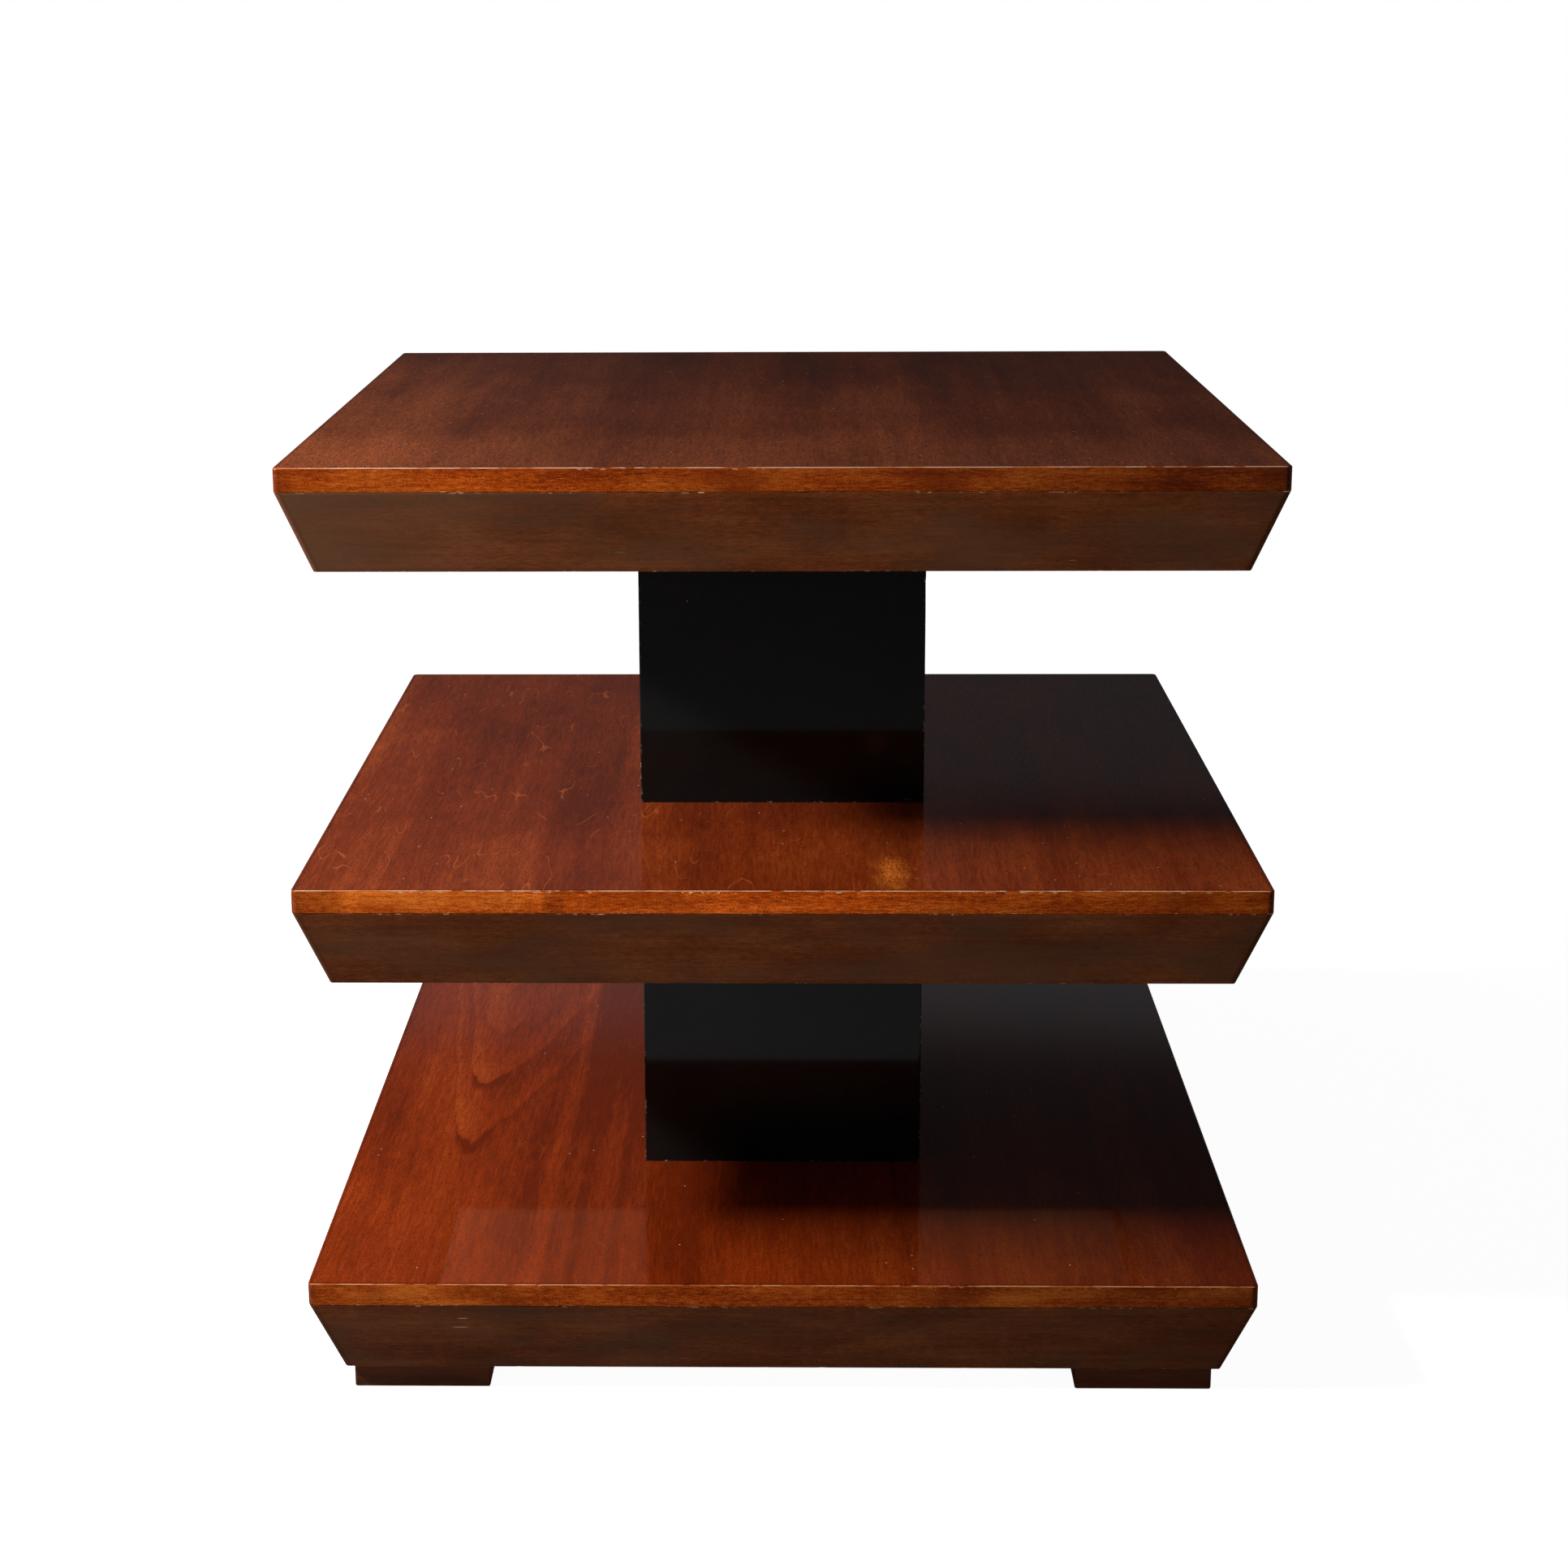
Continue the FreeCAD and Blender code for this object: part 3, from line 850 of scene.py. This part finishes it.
class ScrewTree(GrowTree):
    """Countersunk screws with cross recesses, heads down, two across each foot."""

    title = "foot_screws"
    numbers = ("Foot Spacing", "Screw Spacing", "Recess", "Head Radius", "Shank Radius", "Length", "Point")
    facets = 24
    slot_width = 0.0011
    slot_reach = 0.0046
    slot_depth = 0.0018
    weld = 0.000001

    def shape(self) -> Flow:
        """Puts the screws where the feet are."""
        spacing = self.given("Foot Spacing")
        feet = self.make("MeshGrid", Size_X=spacing, Size_Y=spacing, Vertices_X=2, Vertices_Y=2)
        x, y, _ = self.split(self.make("InputPosition"))
        turn = self.joined(0.0, 0.0, (x * y).sign() * (-math.pi / 4.0))
        half = self.given("Screw Spacing") * 0.5
        start = self.joined(half * -1.0, 0.0, self.given("Recess"))
        offset = self.joined(half * 2.0, 0.0, 0.0)
        pair = self.make("MeshLine", Count=2, Start_Location=start, Offset=offset)
        pair = self.make("InstanceOnPoints", Points=pair, Instance=self._screw())
        return self.make("InstanceOnPoints", Points=feet, Instance=pair, Rotation=turn)

    def _screw(self) -> Flow:
        """One screw with its head's face at height zero."""
        head, shank = self.given("Head Radius"), self.given("Shank Radius")
        cone, point = head - shank, self.given("Point")
        straight = self.given("Length") - cone - point
        parts = (
            self._turned(head, shank, cone, 0.0),
            self._turned(shank, shank, straight, cone),
            self._turned(shank, 0.0, point, cone + straight),
        )
        body = self.gathered(self.make("JoinGeometry"), 0, *parts)
        body = self.make("MergeByDistance", Geometry=body, Distance=self.weld)
        cut = self.make("MeshBoolean", {"operation": "DIFFERENCE", "solver": "EXACT"}, Mesh_1=body)
        sizes = ((self.slot_reach, self.slot_width), (self.slot_width, self.slot_reach))
        arms = [self.make("MeshCube", Size=(*size, 2.0 * self.slot_depth)) for size in sizes]
        return self.gathered(cut, "Mesh 2", *arms)

    def _turned(self, low: Number, high: Number, depth: Flow, base: Number) -> Flow:
        """A cone or cylinder that stands on a height, open where the next one follows.

        Args:
            low: radius at its foot.
            high: radius at its top.
            depth: its height.
            base: the height that it stands on.

        Returns:
            The lathe-turned length.
        """
        lowest = base == 0.0
        sizes = {"Vertices": self.facets, "Radius_Top": high, "Radius_Bottom": low, "Depth": depth}
        part = self.make("MeshCone", {"fill_type": "NGON" if lowest else "NONE"}, **sizes)
        if lowest:
            top = part.out("Top")
            part = self.make("DeleteGeometry", {"domain": "FACE"}, Geometry=part, Selection=top)
        return self.lifted(part, base)


class ThreadTree(GrowTree):
    """A round bar with a rolled thread at each end."""

    title = "threaded_rod"
    numbers = ("Low", "High", "Radius", "Pitch", "Threaded")
    facets = 24
    tooth_facets = 4
    ridge_share = 0.55

    def shape(self) -> Flow:
        """Joins the bar and its two threads."""
        low, high, threaded = self.given("Low"), self.given("High"), self.given("Threaded")
        ridge = self.given("Pitch") * self.ridge_share
        core = self.given("Radius") - ridge
        length = high - low
        sizes = {"Vertices": self.facets, "Radius": core, "Depth": length}
        bar = self.lifted(self.make("MeshCylinder", {"fill_type": "NGON"}, **sizes), low + length * 0.5)
        threads = [self._thread(core, ridge, base) for base in (low, high - threaded)]
        return self.gathered(self.make("JoinGeometry"), 0, bar, *threads)

    def _thread(self, core: Flow, ridge: Flow, base: Flow) -> Flow:
        """One thread that winds up from a height.

        Args:
            core: radius at the thread's root.
            ridge: how far the thread stands out.
            base: the height where it starts.

        Returns:
            The thread's ridge.
        """
        pitch = self.given("Pitch")
        turns = self.given("Threaded") / pitch - 1.0
        radii = {"Start_Radius": core, "End_Radius": core}
        winding = {"Resolution": self.facets, "Rotations": turns, "Height": turns * pitch, **radii}
        spiral = self.make("CurveSpiral", **winding)
        tooth = self.make("CurvePrimitiveCircle", Resolution=self.tooth_facets, Radius=ridge)
        thread = self.make("CurveToMesh", Curve=spiral, Profile_Curve=tooth, Fill_Caps=True)
        return self.lifted(thread, base + pitch * 0.5)


class Side(Enum):
    """The sides of a square frame, each with the turn that carries the front board there."""

    FRONT = 0.0
    RIGHT = math.pi / 2.0
    BACK = math.pi
    LEFT = -math.pi / 2.0

    @property
    def label(self) -> str:
        """The side's name as the nodes spell it."""
        return self.name.lower()


@dataclass(frozen=True)
class Corner:
    """One corner of a board's section: depth behind the frame's outline, height, and rounding."""

    depth: float
    rise: float
    rounding: float = 0.0


def with_seams(corners: Sequence[Corner], reach: float) -> list[Corner]:
    """Adds points near the ends of a section's long sides, so that what happens at an edge stays there.

    Args:
        corners: the section.
        reach: how far from its ends a long side gets a point.

    Returns:
        The section with those points.
    """
    seamed = []
    for here, there in zip(corners, [*corners[1:], corners[0]]):
        seamed.append(here)
        length = math.hypot(there.depth - here.depth, there.rise - here.rise)
        near = [step * reach / length for step in SEAM_STEPS if length > LONG_SIDE * reach]
        for share in (*near, *(1.0 - share for share in reversed(near))):
            depth = here.depth + share * (there.depth - here.depth)
            seamed.append(Corner(depth, here.rise + share * (there.rise - here.rise)))
    return seamed


def section_curve(corners: Sequence[Corner]) -> bpy.types.Object:
    """Makes a board's section as a closed curve for a tree to read.

    Args:
        corners: the outline, counter-clockwise with the depth to the right.

    Returns:
        The curve's object, to be removed after use.
    """
    curve = bpy.data.curves.new("section", "CURVE")
    spline = curve.splines.new("POLY")
    spline.points.add(len(corners) - 1)
    spline.use_cyclic_u = True
    for point, corner in zip(spline.points, corners):
        point.co = (corner.depth, corner.rise, 0.0, 1.0)
        point.radius = corner.rounding
    return put("section", curve)


def dress(material: Material, prefix: str, *pieces: str) -> None:
    """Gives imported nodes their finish.

    Args:
        material: the finish.
        prefix: what the nodes' names start with.
        pieces: the rest of each node's name.
    """
    for piece in pieces:
        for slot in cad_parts[prefix + piece].material_slots:
            slot.material = material
        log.info("%s takes %s", prefix + piece, material.name)


def adopt(piece: bpy.types.Object, slot: str, *nodes: str) -> None:
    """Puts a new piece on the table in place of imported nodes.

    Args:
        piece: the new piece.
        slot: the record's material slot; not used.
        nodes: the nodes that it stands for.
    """
    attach(piece, BODY)
    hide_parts(*nodes)
    log.info("%s stands for %s with %d faces", piece.name, ", ".join(nodes), len(piece.data.polygons))


FACES = (
    FaceVeneer(
        "top_tier",
        arch_tip=(-0.13, 0.02),
        arch_way=1.0,
        arch_contrast=0.10,
        dark=(0.100, 0.0155, 0.0025),
        middle=(0.186, 0.032, 0.0054),
        light=(0.305, 0.065, 0.015),
        # Painted light to the left and front, painted shade to the back.
        pale_left=0.40,
        pale_front=0.26,
        dark_back=0.22,
        dust_share=0.08,
        grain_share=0.75,
        cloud_share=0.75,
        speck_share=2.0,
    ),
    FaceVeneer(
        "middle_tier",
        arch_tip=(-0.17, -0.16),
        arch_way=-1.0,
        arch_contrast=0.16,
        dark=(0.115, 0.0135, 0.0017),
        middle=(0.213, 0.029, 0.0040),
        light=(0.34, 0.058, 0.010),
        pale_front=0.15,
        bands=(
            (-0.135, 0.032, -0.26),
            (-0.228, 0.030, -0.14),
            (-0.030, 0.070, -0.14),
            (0.225, 0.060, 0.12),
            (-0.180, 0.030, -0.15),
        ),
        bare=(0.96, 0.68, 0.42),
        gum_share=0.45,
        dust_share=0.08,
        cloud_share=0.85,
        # A painted golden glint near the middle shelf's front.
        rub=(0.070, -0.266),
    ),
    FaceVeneer(
        "bottom_tier",
        arch_tip=(-0.224, -0.060),
        arch_way=1.0,
        arch_contrast=0.74,
        dark=(0.136, 0.0140, 0.0010),
        middle=(0.258, 0.0298, 0.0025),
        light=(0.380, 0.0600, 0.0072),
        pale_front=0.10,
        dark_right=0.45,
        bands=(
            (-0.122, 0.040, -0.30),
            (-0.111, 0.006, -0.16),
            (-0.136, 0.005, -0.16),
            # Painted shadow: the soft edge of the middle tier's shadow in front of the column.
            (-0.072, 0.045, -0.44),
            (-0.157, 0.007, 0.18),
            (-0.020, 0.090, -0.16),
            (-0.195, 0.110, -0.18),
        ),
        gum_share=0.06,
        worn=(0.46, 0.17, 0.045),
        bare=(0.78, 0.46, 0.22),
        dust_share=0.03,
        cloud_share=0.6,
    ),
)
LIPPING = BoardWood(
    "lipping_polish",
    height=0.0142,
    dark=(0.200, 0.023, 0.0012),
    middle=(0.500, 0.074, 0.0040),
    light=(0.76, 0.19, 0.022),
    fleck_share=0.55,
    patch_share=0.65,
    chip_share=0.90,
    gloss=0.06,
    roughness=0.42,
    grain_share=1.7,
    dark_right=0.45,
    patches=(
        (10.0, -0.297, 0.034, -0.40),
        (10.0, -0.141, 0.009, -0.30),
        (10.0, -0.200, 0.060, -0.18),
        (10.0, 0.010, 0.080, 0.25),
        (20.0, -0.160, 0.070, 0.30),
    ),
)
APRON = BoardWood(
    "apron_stain",
    height=0.052,
    dark=(0.105, 0.024, 0.0055),
    middle=(0.190, 0.047, 0.0120),
    light=(0.27, 0.080, 0.026),
    fleck_share=0.18,
    patch_share=0.35,
    chip_share=0.80,
    gloss=0.03,
    roughness=0.50,
    grain_share=1.6,
    scuff_share=0.35,
    smoke_and_sheen_share=0.65,
    scratches=((-0.206, 0.0415, 0.0045), (-0.208, 0.0341, 0.0065)),
    scratched_board=5.0,
)
FOOT = PlainFinish(
    "foot_stain",
    dark=(0.034, 0.010, 0.0026),
    light=(0.165, 0.037, 0.0085),
    ends=(0.25, 0.75),
    layers=(((8.0, 30.0, 60.0), 3.0, 0.7), ((60.0, 500.0, 700.0), 2.0, 0.3)),
    roughness=0.45,
    swing=0.3,
    depth=0.0001,
    specular=0.12,
    hem=(0.30, 0.14, 0.07),
)
STEEL = PlainFinish(
    "zinc_steel",
    dark=(0.30, 0.30, 0.29),
    light=(0.56, 0.56, 0.54),
    ends=(0.3, 0.7),
    layers=(((180.0, 180.0, 180.0), 3.0, 1.0), ((900.0, 900.0, 2400.0), 2.0, 0.0)),
    roughness=0.28,
    swing=0.2,
    depth=0.00002,
    metallic=1.0,
)
PLY = timber("soffit_ply", (0.43, 0.30, 0.19), (0.70, 0.53, 0.36), (1.0, 0.05, 1.0))
PINE = timber("carcass_pine", (0.38, 0.25, 0.13), (0.62, 0.46, 0.28), (1.0, 1.0, 0.06))


class Workshop:
    """Every finish of the table and the tree that grows its boards, each made once."""

    def __init__(self) -> None:
        """Writes the materials and the tree."""
        self.veneers = {face.name: face.material() for face in FACES}
        self.lipping, self.apron = LIPPING.material(), APRON.material()
        self.lacquer, self.foot = BlackLacquer().material(), FOOT.material()
        self.soffit, self.carcass = PLY.material(), PINE.material()
        self.steel = STEEL.material()
        self.boards = BoardTree()


@dataclass
class FrameOfBoards:
    """Four mitred boards round a square, all with one section."""

    material: Material
    slot: str
    corners: Sequence[Corner]
    half_length: float
    base: float
    height: float
    corner_radius: float
    lean: float = 0.0
    # Brightness factor of the boards: their stain, and partly painted light and shade.
    stain: float = 1.0
    rows: int = 400
    arris_steps: int = 5
    wear: float = 0.0004
    seam_share: float = 1.2

    def build(self, tree: BoardTree, prefix: str, number: int) -> None:
        """Grows the four boards.

        Args:
            tree: the tree that grows them.
            prefix: what the boards' node names start with.
            number: the first board's number, which sets its figure.
        """
        section = section_curve(with_seams(self.corners, self.seam_share * tree.wear_reach))
        for index, side in enumerate(Side):
            node = prefix + side.label
            own = {"section": section, "turn": side.value, "number": float(number + index)}
            adopt(tree.run(node + "_board", self, **own), self.slot, node)
        bpy.data.objects.remove(section)


@dataclass
class Tier:
    """One tier: veneered panel, lippings, splayed aprons, soffit and the blocks inside."""

    name: str
    number: int
    # Brightness factors of the lippings and aprons: their stain, and partly painted shade.
    lipping_stain: float
    apron_stain: float
    corner_radius: float = 0.004
    joint_ease: float = 0.0005
    lipping_width: float = 0.008
    apron_inset: float = 0.019
    apron_thickness: float = 0.016
    apron_arris: float = 0.0015
    soffit_ledge: float = 0.008
    half: float = field(init=False)
    base: float = field(init=False)
    joint: float = field(init=False)
    lipping_height: float = field(init=False)
    apron_height: float = field(init=False)
    soffit_thickness: float = field(init=False)

    def __post_init__(self) -> None:
        """Reads the tier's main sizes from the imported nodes."""
        veneer_low, veneer_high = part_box(self.name + "_veneer")
        soffit_low, soffit_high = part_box(self.name + "_soffit")
        self.half = veneer_high.x
        self.base = soffit_low.z
        self.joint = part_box(self.name + "_panel")[0].z
        self.lipping_height = veneer_low.z - self.joint
        self.apron_height = self.joint - self.base
        self.soffit_thickness = soffit_high.z - soffit_low.z

    def lipping_section(self) -> list[Corner]:
        """The lipping's section: upright, eased at the joint."""
        return [
            Corner(self.lipping_width, 0.0),
            Corner(self.lipping_width, self.lipping_height),
            Corner(0.0, self.lipping_height, self.joint_ease / 4.0),
            Corner(0.0, 0.0, self.joint_ease),
        ]

    def apron_section(self) -> list[Corner]:
        """The apron's section: leaning, with the soffit's rebate behind its foot."""
        height = self.apron_height
        slant = math.atan2(self.apron_inset, height)
        level = self.apron_thickness / math.cos(slant)
        rebate = self.apron_inset + level - self.soffit_ledge
        above = self.apron_inset * (1.0 - self.soffit_thickness / height) + level
        return [
            Corner(rebate, 0.0),
            Corner(rebate, self.soffit_thickness),
            Corner(above, self.soffit_thickness),
            Corner(level, height),
            Corner(0.0, height, self.joint_ease),
            Corner(self.apron_inset, 0.0, self.apron_arris),
        ]

    def build(self, shop: Workshop) -> None:
        """Grows the boards and dresses the rest.

        Args:
            shop: the table's finishes and board tree.
        """
        shared = {"half_length": self.half, "corner_radius": self.corner_radius}
        lippings = FrameOfBoards(
            shop.lipping,
            "lipping_wood",
            self.lipping_section(),
            base=self.joint,
            height=self.lipping_height,
            stain=self.lipping_stain,
            **shared,
        )
        lippings.build(shop.boards, self.name + "_lipping_", 10 * self.number)
        aprons = FrameOfBoards(
            shop.apron,
            "apron_wood",
            self.apron_section(),
            base=self.base,
            height=self.apron_height,
            lean=self.apron_inset / self.apron_height,
            stain=self.apron_stain,
            **shared,
        )
        aprons.build(shop.boards, self.name + "_apron_", 10 * self.number + 5)
        dress(shop.veneers[self.name], self.name, "_veneer")
        dress(shop.soffit, self.name, "_soffit")
        dress(shop.carcass, self.name, "_panel", "_centre_block", "_corner_blocks")


@dataclass
class Column:
    """One length of the black box column, with the battens and plugs inside."""

    name: str
    number: int
    # Brightness factor of the lacquer, raised on the lower column as painted light.
    stain: float
    wall: float = 0.018
    arris: float = 0.001
    rows: int = 160
    wear: float = 0.0003

    def build(self, shop: Workshop) -> None:
        """Grows the four boards and dresses the rest.

        Args:
            shop: the table's finishes and board tree.
        """
        low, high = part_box(self.name + "_front")
        height = high.z - low.z
        outline = ((self.wall, 0.0), (self.wall, height), (0.0, height), (0.0, 0.0))
        boards = FrameOfBoards(
            shop.lacquer,
            "column_lacquer",
            [Corner(*point) for point in outline],
            half_length=high.x,
            base=low.z,
            height=height,
            corner_radius=self.arris,
            stain=self.stain,
            rows=self.rows,
            wear=self.wear,
        )
        boards.build(shop.boards, self.name + "_", self.number)
        dress(shop.carcass, self.name, "_battens", "_plugs")


@dataclass
class Feet:
    """Four block feet and the screws that hold them."""

    screw_spacing: float = 0.040
    head_radius: float = 0.0042
    shank_radius: float = 0.0021
    point: float = 0.006

    def build(self, shop: Workshop) -> None:
        """Dresses the feet and grows their screws.

        Args:
            shop: the table's finishes.
        """
        dress(shop.foot, "foot_", "front_left", "front_right", "back_left", "back_right")
        left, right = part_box("foot_front_left"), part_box("foot_front_right")
        low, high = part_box("foot_screws")
        screws = ScrewTree().run(
            "foot_screws_crossed",
            self,
            foot_spacing=right[0].x - left[0].x,
            recess=low.z,
            length=high.z - low.z,
            material=shop.steel,
        )
        adopt(screws, "steel", "foot_screws")


@dataclass
class TieRod:
    """The threaded rod down the middle, with its nuts and washer."""

    pitch: float = 0.0015
    threaded: float = 0.036

    def build(self, shop: Workshop) -> None:
        """Grows the rod and dresses its fittings.

        Args:
            shop: the table's finishes.
        """
        low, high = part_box("tie_rod")
        ends = {"low": low.z, "high": high.z, "radius": high.x}
        rod = ThreadTree().run("tie_rod_threaded", self, material=shop.steel, **ends)
        adopt(rod, "steel", "tie_rod")
        dress(shop.steel, "tie_rod_", "tee_nut", "washer", "nut")


@dataclass
class Lamp:
    """One rectangular lamp aimed at a point."""

    name: str
    place: Triple
    aim: Triple
    size: Pair
    power: float
    mirrored: bool = False

    def build(self) -> None:
        """Adds the lamp to the scene."""
        light = bpy.data.lights.new(self.name, "AREA")
        light.shape = "RECTANGLE"
        light.size, light.size_y = self.size
        light.energy = self.power
        lamp = put(self.name, light)
        lamp.location = self.place
        lamp.visible_camera = False
        lamp.visible_glossy = self.mirrored
        way = Vector(self.aim) - Vector(self.place)
        lamp.rotation_euler = way.to_track_quat("-Z", "Y").to_euler()


@dataclass
class Camera:
    """The camera that took the view: its place, its turn, and the part of the lens's field that it kept."""

    image: float = 1932.0
    focal: float = 3584.06
    centre: Pair = (909.81, 915.96)
    place: Triple = (0.00656, -2.02837, 0.87450)
    pitch: float = math.radians(14.084)
    yaw: float = math.radians(1.0841)
    roll: float = math.radians(-0.2789)
    sensor: float = 36.0
    nearest: float = 0.05

    def build(self) -> None:
        """Adds the camera to the scene."""
        data = bpy.data.cameras.new("camera")
        data.sensor_width = self.sensor
        data.lens = self.sensor * self.focal / self.image
        data.shift_x = (self.image / 2.0 - self.centre[0]) / self.image
        data.shift_y = (self.centre[1] - self.image / 2.0) / self.image
        data.clip_start = self.nearest
        turn = (
            Matrix.Rotation(self.yaw, 4, "Z")
            @ Matrix.Rotation(math.pi / 2.0 - self.pitch, 4, "X")
            @ Matrix.Rotation(self.roll, 4, "Z")
        )
        camera = put("camera", data)
        camera.matrix_world = Matrix.Translation(self.place) @ turn
        bpy.context.scene.camera = camera


@dataclass
class Studio:
    """Pale floor, white backdrop, soft lamps and the camera.

    The mirrored room is read by height and by side: each pair gives where a change starts and ends.
    """

    floor_half: float = 4.0
    floor_drop: float = 0.0003
    floor_colour: Colour = (0.45, 0.445, 0.44)
    floor_glow: Colour = (0.96, 0.96, 0.96)
    floor_mirror: float = 0.055
    near_share: float = 0.4
    fade: Pair = (0.6, 1.5)
    dim: Colour = (0.042, 0.042, 0.044)
    ambient: float = 0.65
    sweep: Pair = (0.0, 0.03)
    wall: Pair = (0.13, 0.22)
    wall_share: float = 0.3
    ceiling: Pair = (0.31, 0.38)
    ceiling_share: float = 0.4
    left_side: Pair = (-0.12, 0.02)
    left_share: float = 0.4
    right_side: Pair = (-0.02, 0.10)
    right_band: tuple[Pair, Pair] = ((0.250, 0.275), (0.295, 0.320))
    right_share: float = 0.15
    back_band: tuple[Pair, Pair] = ((0.298, 0.312), (0.322, 0.350))
    back_gain: float = 1.7

    def build(self) -> None:
        """Sets up everything that isn't the table."""
        bpy.context.scene.view_settings.view_transform = "Standard"
        self._floor()
        self._world()
        for lamp in self.lamps():
            lamp.build()
        Camera().build()

    def lamps(self) -> list[Lamp]:
        """The lamps: a key at the left and low fills in front, behind and at the right."""
        return [
            Lamp("key_left", (-1.38, -0.58, 1.20), (0.0, 0.0, 0.35), (0.48, 0.06), 45.0, mirrored=True),
            Lamp("fill_front", (-0.8, -2.7, 0.30), (0.0, 0.0, 0.30), (1.0, 0.2), 1.6),
            Lamp("fill_back", (0.7, 2.4, 0.05), (0.0, 0.0, 0.10), (1.2, 0.06), 10.0),
            Lamp("fill_right", (2.4, 0.5, 0.05), (0.0, 0.0, 0.10), (1.2, 0.06), 8.0),
        ]

    def _floor(self) -> None:
        """Lays the floor: white to the eye away from the table's shadow."""
        half, low = self.floor_half, -self.floor_drop
        mesh = bpy.data.meshes.new("floor")
        corners = [(x * half, y * half, low) for x, y in ((-1, -1), (1, -1), (1, 1), (-1, 1))]
        mesh.from_pydata(corners, [], [(0, 1, 2, 3)])
        s = Surface("floor_paper")
        paper = s.shade("BsdfDiffuse", Color=(*self.floor_colour, 1.0))
        away = s.node("ShaderNodeVectorMath", {"operation": "LENGTH"}, {0: s.place()}).out("Value")
        far = s.step(away, *self.fade)
        glow = s.shade("Emission", Color=s.mix(far, self.floor_glow, WHITE))
        lit = s.node("ShaderNodeAddShader", inputs={0: paper, 1: glow})
        path = s.shade("LightPath")
        share = self.near_share + (1.0 - self.near_share) * far
        mirrored = path.out("Is Glossy Ray") * self.floor_mirror * share
        seen = path.out("Is Camera Ray").at_least(path.out("Is Transmission Ray")).at_least(mirrored)
        shown = s.node("ShaderNodeMixShader", inputs={"Fac": seen, 1: paper, 2: lit})
        below, clear = s.shade("NewGeometry").out("Backfacing"), s.shade("BsdfTransparent")
        shown = s.node("ShaderNodeMixShader", inputs={"Fac": below, 1: shown, 2: clear})
        s.shade("OutputMaterial", Surface=shown)
        mesh.materials.append(s.material)
        floor = put("floor", mesh)

    def _world(self) -> None:
        """Makes the world: white to the eye, a low white sweep in reflections, and dim elsewhere."""
        world = bpy.data.worlds.new("studio")
        world.use_nodes = True
        world.node_tree.nodes.clear()
        g = Graph(world.node_tree)
        white = g.shade("Background", Color=(*WHITE, 1.0))
        path = g.shade("LightPath")
        mirrored = path.out("Is Glossy Ray").at_least(path.out("Is Transmission Ray"))
        across, _, up = g.split(g.shade("TexCoord").out("Generated"))
        left = g.fall(across, *self.left_side) * self.left_share
        low = g.fall(up, *self.wall) * (1.0 - self.wall_share) * (1.0 - left)
        high = g.step(up, *self.ceiling) * (1.0 - self.ceiling_share)
        right = g.strip(up, *self.right_band) * g.step(across, *self.right_side)
        right = right * (1.0 - self.right_share)
        back = g.strip(up, *self.back_band) * self.back_gain
        strength = self.ambient + mirrored * (1.0 - self.ambient - (low + high + right - back))
        dim = g.shade("Background", Color=(*self.dim, 1.0), Strength=strength)
        seen = path.out("Is Camera Ray").at_least(mirrored * g.fall(up, *self.sweep))
        mixed = g.node("ShaderNodeMixShader", inputs={"Fac": seen, 1: dim, 2: white})
        g.shade("OutputWorld", Surface=mixed)
        bpy.context.scene.world = world


def main() -> None:
    """Builds the table's looks and its studio."""
    logging.basicConfig(level=logging.INFO, format="%(name)s: %(message)s")
    shop = Workshop()
    pieces = (
        # The aprons are painted darker from the top tier down, as painted shade.
        Tier("bottom_tier", 0, lipping_stain=0.84, apron_stain=0.81),
        Tier("middle_tier", 1, lipping_stain=1.42, apron_stain=1.08),
        Tier("top_tier", 2, lipping_stain=0.88, apron_stain=1.30),
        # The lower column's lacquer is painted lighter, as painted light in its shade.
        Column("lower_column", 100, stain=1.4),
        Column("upper_column", 110, stain=1.0),
        Feet(),
        TieRod(),
    )
    for piece in pieces:
        piece.build(shop)
    Studio().build()


if __name__ == "__main__":
    main()
